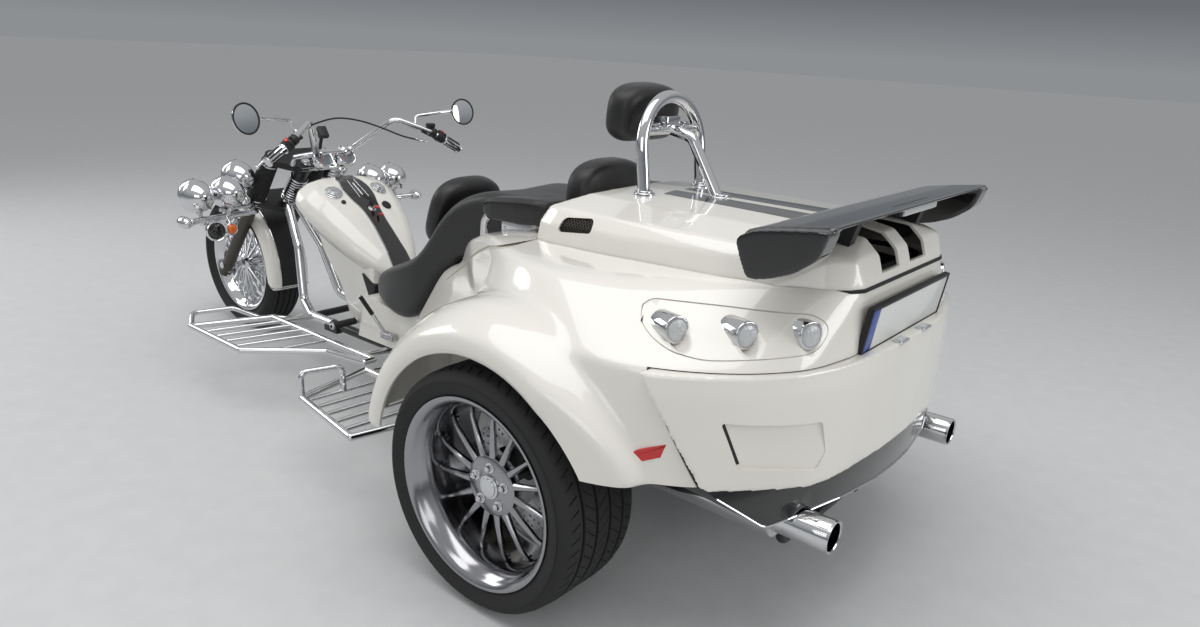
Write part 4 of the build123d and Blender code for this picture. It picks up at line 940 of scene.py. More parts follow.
# %% [markdown]
# Three round lamps a side sit in the scoops. Each is a chrome sleeve, a bright bowl and a domed
# clear lens, which is a ball pressed flat. The reflectors are red prisms at the foot of the tail.

# %% Tail lamps and reflectors
REFLECTOR = ((-58, 553), (40, 583), (44, 610), (36, 613), (-50, 586), (-62, 566))


def tail_lamps():
    sleeves, lenses, bowls = fresh(3)
    for s in (1, -1):
        for x, y, z in TAIL_LAMPS:
            at, out = lamp_frame(x, y, z, s, 68)
            face = at + out * 10
            cylinder(sleeves, at - out * 62, face, LAMP_R, 48, bevel=3)
            cylinder(bowls, face - out * 2, face + out * 0.6, LAMP_R - 5.5, 40)
            ball(lenses, face - out * 2.0, LAMP_R - 7, (1, 1, 0.26), facing((0, 0, 0), out), 32)
    piece(sleeves, "tail_lamp_sleeves", chrome, "body", ("tail_lamps",))
    piece(bowls, "tail_lamp_bowls", machined, "body", slot="chrome")
    piece(lenses, "tail_lamp_lenses", clear_lens, "body")


def reflectors():
    bar = slanted(REFLECTOR, (-1515, 716, 0), 36, 30, 4, 6, "side_reflectors")
    shown(pair(bar), red_lens, "body", ("reflectors",))


tail_lamps()

# %% [markdown]
# The number plate is a blank pressed sheet with a blue band, in a black holder that leans like
# the tail. It is drawn upright about its own middle and then leant back as one.

# %% Number plate
PLATE_AT, PLATE_LEAN = (-1781, 0, 834), math.radians(6.9)
HOLDER_HALF, HOLDER_TALL = 267, 68
SHEET_Z = (-49, 58)


def plate():
    leant = Matrix.Translation(PLATE_AT) @ Matrix.Rotation(-PLATE_LEAN, 4, "Y")
    holder, sheet, band = fresh(3)
    block(holder, -4, 9, -HOLDER_HALF, HOLDER_HALF, -HOLDER_TALL, HOLDER_TALL, 3, 3)
    block(holder, -9, -4, -HOLDER_HALF, HOLDER_HALF, -HOLDER_TALL, -52, 2, 2)
    for z0, z1 in ((60, HOLDER_TALL), (-60, -50)):
        block(holder, -8, -3, -HOLDER_HALF, HOLDER_HALF, z0, z1, 1.5, 2)
    for y0, y1 in ((-HOLDER_HALF, -259), (259, HOLDER_HALF)):
        block(holder, -8, -3, y0, y1, -60, 66, 1.5, 2)
    block(sheet, -6, -3, -257, 214, *SHEET_Z, 1.2, 2)
    block(band, -6, -3, 214.5, 257, *SHEET_Z, 1.2, 2)
    for bm, name, finish, at_slot, stands in ((holder, "plate_holder", plastic, "black_satin", ()),
                                              (sheet, "plate_sheet", plate_white, "plate", ("number_plate",)),
                                              (band, "plate_band", plate_blue, "plate", ())):
        bmesh.ops.transform(bm, matrix=leant, verts=bm.verts)
        piece(bm, name, finish, "body", stands, slot=at_slot)


def plate_lamps():
    """Two slim lamps over the plate's upper edge."""
    bodies, glass = fresh(2)
    for middle in (80, -80):
        block(bodies, -1822, -1796, middle - 27, middle + 27, 779, 788, 2.5, 3)
        block(glass, -1818, -1800, middle - 20, middle + 20, 787, 790.5, 1.5, 2)
    piece(bodies, "plate_lamp_bodies", chrome, "body", ("plate_lamps",))
    piece(glass, "plate_lamp_lenses", clear_lens, "body")


plate()
plate_lamps()
reflectors()

# %% [markdown]
# The lid's black stripes are skins 0.7 mm thick, cut from a slightly grown copy of it, so they
# follow its crown exactly. Two channels fall to the tail, and each flank has a vent: a diamond
# lattice over a dark panel.

# %% Lid
STRIPE = ((-1044, 20), (-1050, 96), (-1500, 118), (-1640, 150), (-1640, 34), (-1500, 24))
CHANNEL_SIDE = ((-1560, 1060), (-1560, 1034), (-1640, 1006), (-1745, 962), (-1800, 956), (-1800, 1100))
CHANNEL_Y = (36.0, 150.0)
VENT = ((-911, 950), (-926, 992), (-1034, 1005), (-1040, 966))
VENT_Y = (340, 440)
LATTICE_PITCH, LATTICE_LEAN, LATTICE_BAR = 11, 30, 3
LID_WALL, UNDERSIDE_DROP = 7.0, 26


def skin(thing, region, thickness, name):
    """Thin layer on a solid inside a region."""
    layer = grown(thing, thickness, name)
    combined(layer, [region], "INTERSECT")
    return combined(layer, [thing], "DIFFERENCE", keep=True)


def vent_lattice(form, vents):
    """Diamond mesh that follows the lid's flank a little below its surface."""
    bars = bmesh.new()
    for k in range(24):
        for lean in (-LATTICE_LEAN, LATTICE_LEAN):
            x = -860 - LATTICE_PITCH * k
            joined(bars, side_solid(((x + lean, 940), (x + lean - LATTICE_BAR, 940),
                                     (x - lean - LATTICE_BAR, 1010), (x - lean, 1010)), 330, 440))
    layer = grown(form, -5.0, "lattice_layer")
    combined(layer, [grown(form, -8.0, "under")], "DIFFERENCE")
    grid = loose(bars, "grid")
    left, right = [combined(grown(layer, 0.0, "lattice_side"), [side], "INTERSECT")
                   for side in (grid, other_side(grid))]
    bpy.data.objects.remove(layer)
    lattice = combined(left, [right], "UNION")
    lattice.name = "lid_vent_lattice"
    return combined(lattice, [vents], "INTERSECT", keep=True)


def lid():
    form = lid_form(-10)
    stripes = skin(form, pair(loose(plan_solid(STRIPE, 1020, 1070, 5), "stripes")), 0.7, "lid_stripes")
    channel = pair(loose(side_solid(CHANNEL_SIDE, *CHANNEL_Y), "channels"))
    combined(stripes, [channel], "DIFFERENCE", keep=True)
    vents = pair(loose(side_solid(VENT, *VENT_Y, 15, 6), "vents"))
    lattice = vent_lattice(form, vents)
    depth = grown(form, -9.0, "depth")
    hollow = grown(form, -LID_WALL, "hollow")
    for drop in (0, -UNDERSIDE_DROP):
        copy = grown(hollow, 0.0, "shift")
        copy.data.transform(Matrix.Translation((0, 0, drop)))
        combined(form, [copy], "DIFFERENCE")
    bpy.data.objects.remove(hollow)
    mesh_panel = combined(grown(vents, 0.0, "lid_vent_mesh"), [depth], "INTERSECT")
    combined(form, [vents, channel], "DIFFERENCE")
    shown(form, white, "lid", ("lid_shell",), 30)
    shown(stripes, black_gloss, "lid")
    shown(mesh_panel, plastic, "lid")
    shown(lattice, fork_grey, "lid", slot="black_satin")


lid()

# %% [markdown]
# Things that stand on the lid: a gloss black wing whose ends turn down, on two blades, with a
# clear brake lamp beneath, and a chrome hoop that carries the passenger's head pad.

# %% Wing and hoop
WING = ((-1562, 1072), (-1572, 1084), (-1606, 1096), (-1685, 1110), (-1782, 1124), (-1782, 1116),
        (-1690, 1092), (-1606, 1074), (-1575, 1066))
WING_END = ((-1560, 1070), (-1576, 1024), (-1600, 980), (-1650, 990), (-1710, 1014), (-1762, 1054),
            (-1782, 1118), (-1690, 1106), (-1606, 1092))
WING_POST = ((-1612, 1090), (-1716, 1108), (-1690, 1008), (-1672, 985), (-1600, 985), (-1596, 1010))
WING_HALF, WING_END_OUT = 512, 545
HOOP_FEET = ((-1020, 150, 1046), (-1020, -150, 1046), (-1190, 0, 1046))


def wing():
    form = loose(side_solid(WING, -WING_HALF, WING_HALF, 1.5, 2), "wing")
    ends = pair(loose(side_solid(WING_END, WING_HALF - 28, WING_END_OUT, 16, 4), "ends"))
    combined(form, [ends], "UNION")
    shown(softened(form, 4.5, 5, 0.5), black_gloss, "lid", ("spoiler",), 40)
    posts = bmesh.new()
    for s in (1, -1):
        joined(posts, side_solid(WING_POST, s * 204, s * 232, 5, 2))
        block(posts, -1712, -1588, s * 196, s * 240, 1016, 1022, 2, 2)
    piece(posts, "wing_posts", plastic, "lid")
    lamp = block(bmesh.new(), -1768, -1738, -120, 120, 1096, 1119, 5, 3)
    glass = block(bmesh.new(), -1774, -1762, -112, 112, 1098, 1115, 4, 3)
    piece(lamp, "brake_lamp_body", plastic, "lid", ("high_brake_lamp",))
    piece(glass, "brake_lamp_lens", clear_lens, "lid")


def hoop_fittings():
    """Flange rings at the feet of the hoop and its stay, and the head pad's bracket."""
    bm = bmesh.new()
    for x, y, z in HOOP_FEET:
        cylinder(bm, (x, y, z - 8), (x, y, z + 7), 31, 40, bevel=3)
        cylinder(bm, (x, y, z + 6), (x, y, z + 13), 24, 40, bevel=2.5)
        for k in range(3):
            dx, dy = polar(26.5, 120 * k + 30)
            cylinder(bm, (x + dx, y + dy, z + 6), (x + dx, y + dy, z + 9.5), 3.2, 6)
    block(bm, -1002, -930, -34, 34, 1214, 1262, 3, 2)
    for y in (-62, 62):
        cylinder(bm, (-1012, y, 1238), (-935, y, 1238), 7, 20)
    piece(bm, "hoop_fittings", chrome, "lid")


wing()
hoop_fittings()

# %% [markdown]
# The wheels are what the eye goes to. A tyre is a spun section, and its tread is a boolean with
# rings and slots. Four grooves run right round, and slanted slots cross both shoulders and the
# bands between the grooves. One pitch of slots is made and repeated about the axle.

# %% Tyres
FRONT_X, FRONT_Z = 1523.0, 327.0
REAR_Y = 723.0


def tyre_form(radius, width, bead, lip, rim_w, name):
    """Casing: rounded shoulders, a raised rim guard, a flat lettering-free wall and two beads."""
    half, seat, mid = width / 2, rim_w / 2 - 6, (lip + radius) / 2
    wall = [(-seat, bead + 0.4), (-seat, lip + 3), (-seat - 4, lip + 6), (-seat - 5, lip + 12),
            (-half + 1, mid - 6), (-half, mid + 6), (-half + 3, radius - 30), (-half + 9, radius - 18),
            (-half + 20, radius - 8), (-half + 38, radius - 3), (-half * 0.5, radius)]
    outer = wall + [(0, radius)] + [(-y, r) for y, r in reversed(wall)]
    inner = [(seat - 12, bead + 0.4), (seat - 12, bead + 16), (0, bead + 18), (-seat + 12, bead + 16),
             (-seat + 12, bead + 0.4)]
    return loose(spun(outer + inner, steps=180), name)


def around(bm, one, count, offset=0.0):
    """Adds count copies of a shape turned about the wheel's axis."""
    mesh = bpy.data.meshes.new("one")
    one.to_mesh(mesh)
    one.free()
    for k in range(count):
        copy = mesh.copy()
        copy.transform(Matrix.Rotation(FULL_TURN * (k + offset) / count, 4, "Y"))
        bm.from_mesh(copy)
        bpy.data.meshes.remove(copy)
    bpy.data.meshes.remove(mesh)
    return bm


def tread(casing, radius, width, pitches, lines, slot_w):
    """Cuts the pattern: round grooves, and slanted slots on both shoulders and between the grooves."""
    cuts, one = fresh(2)
    for y in lines:
        joined(cuts, spun(((y - 4.5, radius - 8), (y - 5.5, radius + 9), (y + 5.5, radius + 9),
                           (y + 4.5, radius - 8)), steps=180))
    out, edge = width / 2 + 6, lines[-1] + 12
    for s, shift in ((1, 0.0), (-1, 0.5)):
        points = ((s * out, -26), (s * out, -26 - slot_w), (s * edge, 8 - slot_w), (s * edge, 8))
        slot = pulled(bmesh.new(), [(x, y, radius - 7) for y, x in points], (0, 0, 30))
        joined(one, slot, Matrix.Rotation(FULL_TURN / pitches * shift, 4, "Y"))
    for (a, b), lean in zip(zip(lines, lines[1:]), (14, -14, 14)):
        corners = ((-lean, a + 9), (-lean - slot_w * 0.6, a + 9), (lean - slot_w * 0.6, b - 9), (lean, b - 9))
        joined(one, pulled(bmesh.new(), [(x, y, radius - 5) for x, y in corners], (0, 0, 20)))
    around(cuts, cleaned(one), pitches)
    return combined(casing, [loose(cuts, "tread_cuts")], "DIFFERENCE")


# %% [markdown]
# The rear wheels are fat, deep-dished wheels in dark chrome. Each rim is a spun barrel. Fifteen
# blades leave the hub wide, narrow toward the rim and end in a foot bolted to the barrel.

# %% Rims
BLADES = 15


def barrel_form(bead, lip, rim_w, drop):
    """Spun barrel: rolled lips outside, a deep step inside."""
    half = rim_w / 2
    face = [(half - 4, lip + 1), (half, lip), (half + 1, lip - 4), (half - 1, lip - 9), (half - 12, bead - 8),
            (half - 20, bead - 10), (half - 24, bead - 15), (half - 62, bead - drop - 4),
            (0, bead - drop - 8)]
    back = [(-y, r) for y, r in reversed(face[:-1])]
    top = [(-half + 6, bead - 1), (-half + 44, bead - 1), (-half + 60, bead - drop + 2)]
    top += [(-y, r) for y, r in reversed(top)]
    return spun(face + back + top, steps=144)


def blade(inner_r, outer_r, face_y, wide, narrow, foot_y):
    """One spoke: a tapered bar of rounded section that bends back to the barrel, and its bolt."""
    bm = bmesh.new()
    rows = ((inner_r, face_y, wide, 15), (inner_r + (outer_r - inner_r) * 0.35, face_y + 2, wide * 0.66, 13),
            (outer_r - 34, face_y + 1, narrow, 11), (outer_r - 8, face_y - 8, narrow, 11),
            (outer_r, foot_y, narrow, 11))
    rings = []
    for r, y, w, deep in rows:
        section = ((-w / 2, -deep / 2), (-w / 2, deep * 0.2), (-w * 0.28, deep / 2), (w * 0.28, deep / 2),
                   (w / 2, deep * 0.2), (w / 2, -deep / 2))
        verts = [bm.verts.new((x, y + dy, r)) for x, dy in section]
        rings.append(verts)
        for p, q in zip(verts, verts[1:] + verts[:1]):
            bm.edges.new((p, q))
    for low, high in zip(rings, rings[1:]):
        edges = {e for v in low + high for e in v.link_edges
                 if (e.verts[0] in low and e.verts[1] in low) or (e.verts[0] in high and e.verts[1] in high)}
        bmesh.ops.bridge_loops(bm, edges=list(edges))
    for ring in (rings[0], rings[-1]):
        bmesh.ops.contextual_create(bm, geom=ring)
    bmesh.ops.recalc_face_normals(bm, faces=bm.faces)
    cylinder(bm, (0, foot_y + 12, outer_r - 13), (0, foot_y + 20, outer_r - 17), 4.2, 8)
    return bm


def rear_rim():
    bm = barrel_form(254, 268, 266, 26)
    around(bm, blade(64, 226, 52, 25, 11, 18), BLADES)
    return joined(bm, spun(((30, 20.4), (30, 84), (44, 88), (58, 86), (63, 78), (63, 22), (60, 20.4))))


def rear_lugs():
    """Five lug nuts on the hub, and a stepped centre cap."""
    bm = bmesh.new()
    for k in range(5):
        x, z = polar(56, 90 + 72 * k)
        cylinder(bm, (x, 62, z), (x, 65.5, z), 15, 32, bevel=1.2)
        cylinder(bm, (x, 64, z), (x, 78, z), 10, 6, bevel=1.5)
        ball(bm, (x, 78, z), 7, (1, 0.5, 1), segments=16)
    cylinder(bm, (0, 60, 0), (0, 70, 0), 34, 48, bevel=2.5)
    cylinder(bm, (0, 69, 0), (0, 74, 0), 27, 48, bevel=2.5)
    return bm


def brake_disc(y, outer, inner, holes, name):
    """Drilled disc."""
    plate = loose(spun(((y, inner), (y, outer), (y + 9, outer), (y + 9, inner)), steps=120), name)
    one = bmesh.new()
    for r, shift in ((outer - 12, 0), (outer - 26, 4), (outer - 40, 8)):
        x, z = polar(r, shift)
        cylinder(one, (x, y - 4, z), (x, y + 13, z), 3.6, 10)
    return combined(plate, [loose(around(bmesh.new(), one, holes), "drills")], "DIFFERENCE")


def caliper(s, side):
    """Two halves over the disc's front edge, with their bolts; it stays with the body."""
    bm = bmesh.new()
    middle = REAR_Y - 30
    section = [polar(r, a) for r, a in ((112, 12), (176, 14), (176, -14), (112, -12))]
    for y0, y1 in ((-26, -7), (7, 26)):
        half = [(AXLE_X + x, AXLE_Z + z) for x, z in section]
        joined(bm, side_solid(half, s * (middle + y0), s * (middle + y1), 8, 4))
    block(bm, AXLE_X + 163, AXLE_X + 180, s * (middle - 24), s * (middle + 24), AXLE_Z - 30, AXLE_Z + 30,
          5, 3)
    for z in (-30, 30):
        ends = [(AXLE_X + 140, s * (middle + y), AXLE_Z + z) for y in (-32, 31)]
        cylinder(bm, *ends, 7, 6, bevel=1)
    piece(bm, f"caliper_{side}", cast_alloy, "body")


def put(thing, centre, side=1):
    """Moves a wheel piece to its axle; the right-hand one is turned round."""
    turn = Matrix.Identity(4) if side > 0 else Matrix.Rotation(math.pi, 4, "Z")
    thing.data.transform(Matrix.Translation(centre) @ turn)
    return thing


def rear_wheels():
    for side, s in (("left", 1), ("right", -1)):
        body, centre = f"rear_wheel_{side}", (AXLE_X, s * REAR_Y, AXLE_Z)
        casing = tyre_form(339, 285, 254, 268, 266, f"tyre_{side}")
        tread(casing, 339, 285, 60, (-75, -25, 25, 75), 5)
        shown(put(casing, centre, s), tyre_rubber, body, (f"rear_tyre_{side}",), 32)
        rim = put(loose(rear_rim(), f"rim_{side}"), centre, s)
        shown(rim, smoked, body, (f"rear_rim_{side}",), 40)
        shown(put(loose(rear_lugs(), f"lugs_{side}"), centre, s), chrome, body)
        disc = put(brake_disc(-34, 158, 84, 30, f"brake_disc_{side}"), centre, s)
        shown(disc, machined, body, slot="dark_chrome")
        caliper(s, side)


rear_wheels()

# %% [markdown]
# The saddle is one shaped cushion: wide wings hold the rider, a dip keeps the seat low, and the
# back rises to the passenger's place. It is hulled from cross sections, remeshed and smoothed.
# Its seat is a valley, which one hull would bridge, so each span is two hulls, one for either
# half.

# %% Saddle
SADDLE = ((318, 500, 96, 452, 4), (262, 530, 160, 438, 18), (158, 563, 204, 424, 34), (60, 586, 222, 418, 52),
          (-30, 618, 226, 448, 64), (-100, 694, 222, 530, 56), (-180, 816, 218, 640, 36),
          (-262, 904, 216, 700, 18), (-378, 957, 214, 756, 8), (-500, 966, 212, 810, 6),
          (-655, 964, 210, 880, 6))


def chained(sections, name, halves=False):
    """Union of the hulls between neighbouring cross sections; halves hulls either side by itself."""
    whole = None
    for a, b in zip(sections, sections[1:]):
        piece = loose(hulled(a + b, mirror=not halves), name)
        if halves:
            pair(piece)
        whole = piece if whole is None else combined(whole, [piece], "UNION")
    return whole


def saddle_row(x, z, half, low, wing):
    """Half a cross section: middle height, half width, underside, and how far the wing stands up."""
    return [(x, -2, z), (x, half * 0.5, z + wing * 0.3), (x, half * 0.82, z + wing),
            (x, half * 0.96, z + wing - 14), (x, half, z + wing - 42), (x, half, low + 26),
            (x, half - 22, low), (x, -2, low)]


def leather_piece(thing, stands, body="body"):
    shown(thing, leather, body, stands, 60)


def saddle():
    sections = [saddle_row(*row) for row in curve(SADDLE, 3)]
    leather_piece(softened(chained(sections, "saddle", halves=True), 6.0, 26, 0.6), ("seat",))


saddle()

# %% [markdown]
# A back pad is a rounded block that leans back. Its rows are powers of sine and cosine, which
# give a fuller shoulder than a ball has. The arm pads are long and soft, with piping.

# %% Back pads and arm rests
PAD_ROWS, PAD_STEPS = 18, 8
ARM_Y = 300
ARM_PAD = ((-522, 22, 936, 962), (-534, 34, 926, 978), (-570, 40, 920, 990), (-680, 42, 922, 1004),
           (-752, 38, 930, 1008), (-782, 24, 944, 1004), (-790, 14, 954, 998))


def pad(name, centre, size, lean, stands, body="body", top=0.0):
    """Back pad of depth, half width and height; top is how far its upper edge arches."""
    depth, half, height = size
    rows = []
    for step in range(PAD_ROWS + 1):
        rise = math.sin(math.pi * (step / PAD_ROWS - 0.5))
        z = (height / 2 + (top if rise > 0 else 0)) * rise
        wide = half * (1 - abs(rise) ** 3.4) ** 0.42 if rise > 0 else half * (1 - 0.3 * abs(rise) ** 4)
        wide, d = max(wide, half * 0.16), depth * 0.5 * (1 - abs(rise) ** 4) ** 0.3
        for k in range(PAD_STEPS + 1):
            turn = math.pi / 2 * k / PAD_STEPS
            x, y = max(d, 9) * math.cos(turn) ** 0.62, wide * math.sin(turn) ** 0.5
            rows += [(x, y, z), (-x, y, z)]
    form = softened(loose(hulled(rows), name), 4.5, 22, 0.5)
    form.data.transform(Matrix.Translation(centre) @ Matrix.Rotation(math.radians(lean), 4, "Y"))
    leather_piece(form, stands, body)


def arm_rest(side, s):
    rows, welt = [], []
    for x, half, z0, z1 in ARM_PAD:
        for y in (-half, half):
            rows += [(x, s * ARM_Y + y * 0.8, z0), (x, s * ARM_Y + y, z1 - 30), (x, s * ARM_Y + y, z1 - 12),
                     (x, s * ARM_Y + y * 0.6, z1)]
        welt.append((x, half, z1 - 14))
    form = softened(loose(hulled(rows, mirror=False), f"arm_pad_{side}"), 4.0, 12, 0.6)
    leather_piece(form, ("armrest_pads",) if s > 0 else ())
    loop = [(x, s * ARM_Y + half - 0.5, z) for x, half, z in curve(welt, 4)]
    loop += [(x, s * ARM_Y - half + 0.5, z) for x, half, z in reversed(curve(welt, 4))]
    piping = loose(swept(bmesh.new(), [loop[-1]] + loop, 2.4, 12, 10), f"arm_piping_{side}")
    shown(piping, plastic, "body", slot="leather")
    bracket = block(bmesh.new(), -722, -598, s * ARM_Y - 17, s * ARM_Y + 17, 884, 926, 3)
    for x in (-706, -614):
        cylinder(bracket, (x, s * ARM_Y - 20, 900), (x, s * ARM_Y + 20, 900), 6, 16, bevel=1)
    piece(bracket, f"arm_bracket_{side}", chrome, "body")


pad("rider_back_pad", (-72, 0, 830), (98, 160, 252), -19, ("rider_backrest",), top=14)
pad("passenger_back_pad", (-756, 0, 992), (114, 168, 206), -4, ("passenger_backrest",), top=16)
pad("head_pad", (-886, 0, 1262), (112, 146, 160), -6, ("headrest",), "lid", top=9)
arm_rest("left", 1)
arm_rest("right", -1)

# %% [markdown]
# The tank is a long teardrop that slopes down to the rider, pinched below. The black console and
# its chrome rim are skins laid on the tank, so they follow it. Caps, lock and key stand where a
# ray dropped from above meets it.

# %% Tank and console
TANK = ((300, 60, 470, 536), (346, 106, 466, 594), (420, 158, 478, 668), (500, 196, 506, 742),
        (580, 222, 542, 802), (650, 236, 580, 844), (712, 230, 620, 858), (756, 196, 664, 846),
        (782, 132, 706, 810), (790, 70, 740, 780))
CONSOLE = ((300, 48), (400, 38), (470, 36), (520, 44), (560, 58), (610, 62), (650, 50), (690, 44), (700, 38))
CONSOLE_LIFT, RIM_LIFT = 7, 4
CAP_STEPS = ((-3, 4, 37), (4, 9, 32), (9, 15, 24), (15, 18, 18))


def tank_row(x, half, low, top):
    """Cross section: belly, widest at two thirds of the height, round shoulder."""
    tall = top - low
    return [(x, half * 0.30, low), (x, half * 0.74, low + tall * 0.26), (x, half * 0.97, low + tall * 0.52),
            (x, half, low + tall * 0.64), (x, half * 0.93, low + tall * 0.80),
            (x, half * 0.72, top - tall * 0.07), (x, half * 0.42, top - tall * 0.01), (x, 0, top)]


def lying_on(form, points, lift, name):
    """Plan outline laid on a form as a skin of thickness lift."""
    return skin(form, loose(plan_solid(points, 440, 940), "region"), lift, name)


def drop_onto(form, x, y):
    """Point on a form's top at X, Y, and its normal."""
    hit = form.ray_cast(Vector((x, y, 1300)), Vector((0, 0, -1)))
    return hit[1], hit[2]


def filler_caps(places, lock):
    """Two stepped caps with balls round their edge, and the lock's ring."""
    bm = bmesh.new()
    for at, normal in places:
        for low, high, r in CAP_STEPS:
            cylinder(bm, at + normal * low, at + normal * high, r, 40, bevel=1.5)
        for k in range(8):
            side = normal.orthogonal().normalized()
            side.rotate(Matrix.Rotation(FULL_TURN * k / 8, 3, normal))
            ball(bm, at + normal * 12 + side * 24.5, 3, segments=10)
    at, normal = lock
    cylinder(bm, at + normal * 5, at + normal * 12, 17, 32, bevel=2)
    cylinder(bm, at + normal * 10, at + normal * 15, 10, 24, bevel=1.5)
    piece(bm, "tank_caps", chrome, "body", ("filler_caps",))


def buttons_and_key(round_cap, button, lock):
    bm = bmesh.new()
    for (at, normal), high, r, segments, bevel in ((round_cap, 6, 21, 32, 2), (button, 5, 10, 24, 1.5)):
        cylinder(bm, at - normal * 2, at + normal * high, r, segments, bevel=bevel)
    at = lock[0]
    block(bm, at.x - 14, at.x + 14, -1.2, 1.2, at.z + 14, at.z + 34, 0.8)
    piece(bm, "tank_buttons", plastic, "body")
    fob = ball(bmesh.new(), at + Vector((-26, -8, 16)), 13, (1.2, 0.7, 0.45), segments=20)
    block(fob, at.x - 62, at.x - 34, -16, -6, at.z - 16, at.z - 8, 2)
    piece(fob, "key_fob", red_lens, "body")


def console_lines(at, normal):
    """Two bright lines along the console, and a shorter one between them."""
    bm = bmesh.new()
    along = Vector((normal.z, 0, -normal.x))
    for k in (-1, 1):
        cylinder(bm, at + along * 58 + normal * 9 + Vector((0, k * 17, 0)),
                 at - along * 52 + normal * 9 + Vector((0, k * 22, 0)), 1.8, 12)
    cylinder(bm, at + along * 38 + normal * 8, at - along * 40 + normal * 8, 3.4, 12)
    piece(bm, "console_lines", chrome, "body")


def tank():
    form = softened(chained([tank_row(*row) for row in TANK], "tank_cover"), 6.0, 16, 0.6)
    wide = both(curve(CONSOLE, 4))
    console = lying_on(form, wide, CONSOLE_LIFT, "console_panel")
    rim = [(x - 4 if x < 400 else x + 4, y + 5 if y > 0 else y - 5) for x, y in wide]
    trim = lying_on(form, rim, RIM_LIFT, "console_trim")
    caps = [drop_onto(form, 606, s * 112) for s in (1, -1)]
    round_cap, button = drop_onto(form, 520, -88), drop_onto(form, 556, 100)
    lock, slit = drop_onto(form, 505, 0), drop_onto(form, 600, 0)
    shown(console, black_gloss, "body", ("tank_console",), 40)
    shown(trim, chrome, "body", sharp=40)
    filler_caps(caps, lock)
    buttons_and_key(round_cap, button, lock)
    console_lines(*slit)
    shown(form, white, "body", ("fuel_tank",), 50)


tank()

# %% [markdown]
# A white panel falls from the tank to the floor tunnel, with a dark wedge below the tank.

# %% Cowl
COWL = ((384, 800, 112, 610), (356, 742, 116, 520), (350, 640, 112, 400), (368, 590, 100, 256))
WEDGE, WEDGE_HALF = ((342, 470), (430, 505), (395, 430), (352, 330)), 119


def cowl():
    rows = [[(x0, half, z), (x1, half * 0.7, z), (x1 + 12, half * 0.3, z), (x0 - 8, half * 0.6, z)]
            for x0, x1, half, z in COWL]
    form = softened(chained(rows, "cowl_cover"), 5.0, 16, 0.5)
    shown(form, white, "body", ("front_cowl",), 40)
    wedge = softened(loose(side_solid(WEDGE, -WEDGE_HALF, WEDGE_HALF), "cowl_wedge"), 3, 6)
    shown(wedge, plastic, "body", sharp=40)


cowl()

# %% [markdown]
# At the rider's feet are pegs with ribbed rubber sleeves, and the parking brake. A ribbed sleeve
# is one spun section whose ribs are laid by a loop.

# %% Pegs and hand brake
PEG_X, PEG_Z = 470, 290
BRAKE_FOOT, BRAKE_TOP = Vector((170, 199, 322)), Vector((262, 247, 466))


def pegs():
    bars, sleeves = fresh(2)
    for s in (1, -1):
        for y0, y1, r, segments in ((118, 250, 9, 24), (118, 132, 14.5, 32), (240, 250, 14.5, 32)):
            cylinder(bars, (PEG_X, s * y0, PEG_Z), (PEG_X, s * y1, PEG_Z), r, segments, bevel=2)
        ring = [(132, 8)]
        for k in range(11):
            y = 133 + k * 9.7
            ring += [(y, 12.4), (y + 2.2, 14.8), (y + 6.6, 14.8), (y + 8.6, 12.4)]
        joined(sleeves, spun([(s * a, r) for a, r in ring + [(240, 8)]], (PEG_X, 0, PEG_Z), steps=32))
    piece(bars, "peg_bars", chrome, "body", ("foot_pegs",))
    piece(sleeves, "peg_rubbers", rubber, "body")


def park_brake():
    way, length = (BRAKE_TOP - BRAKE_FOOT).normalized(), (BRAKE_TOP - BRAKE_FOOT).length
    lever = block(bmesh.new(), 121, 196, 176, 208, 301, 326, 4, 3)
    cylinder(lever, BRAKE_FOOT - way * 14, BRAKE_FOOT + way * 92, 6.5, 20, bevel=1)
    for x in (130, 170):
        cylinder(lever, (x, 192, 322), (x, 192, 329), 6, 6, bevel=1)
    piece(lever, "brake_lever_foot", machined, "body", ("hand_brake",), slot="black_satin")
    ring = [(0, 4)]
    for k in range(9):
        a = 4 + k * 9.2
        ring += [(a, 9.4), (a + 2, 11), (a + 6, 11), (a + 8, 9.4)]
    grip = spun(ring + [(88, 8), (90, 4)], BRAKE_FOOT + way * (length - 92), tuple(way), steps=32)
    piece(grip, "brake_grip", rubber, "body")
    button = cylinder(bmesh.new(), BRAKE_TOP - way * 6, BRAKE_TOP + way * 6, 5, 20, bevel=1.5)
    piece(button, "brake_button", chrome, "body")


pegs()
park_brake()

# %% [markdown]
# Everything that turns with the handlebar. Places on the raked fork are given by the distance s
# along the steering axis, from level with the front axle, and by how far forward of it they are.
# The fork has plain lower legs, bright tubes, ribbed rubber boots and two clamp plates.

# %% Fork
RAKE = math.radians(40.0)
LEG_FORWARD, LEG_HALF = 60.0, 128.0
YOKE_LOW, YOKE_HIGH, YOKE_T = 470.0, 735.6, 34.0
BOOT_RIBS, BOOT_PITCH, BOOT_LONG = 18, 12.6, 231
STEM_NUT = ((0, 0), (0, 22), (4, 24), (14, 24), (18, 20), (24, 12), (24, 0))


def on_fork(s, forward=LEG_FORWARD, y=0.0):
    """Point at s along the fork and forward of the steering axis."""
    f = forward - LEG_FORWARD
    return Vector((FRONT_X - s * math.sin(RAKE) + f * math.cos(RAKE), y,
                   FRONT_Z + s * math.cos(RAKE) + f * math.sin(RAKE)))


def yoke(s0, name):
    """Clamp plate: rounded at both legs and at the stem."""
    rim = []
    for f, y, r in ((LEG_FORWARD, LEG_HALF, 33), (4, 0, 36), (LEG_FORWARD - 4, 40, 26)):
        for k in range(24):
            df, dy = polar(r, 15 * k)
            rim.append((f + df, y + dy))
    corners = [tuple(on_fork(s, f, y)) for s in (s0, s0 + YOKE_T) for f, y in rim]
    return edged(loose(hulled(corners), name), 4.0, 40)


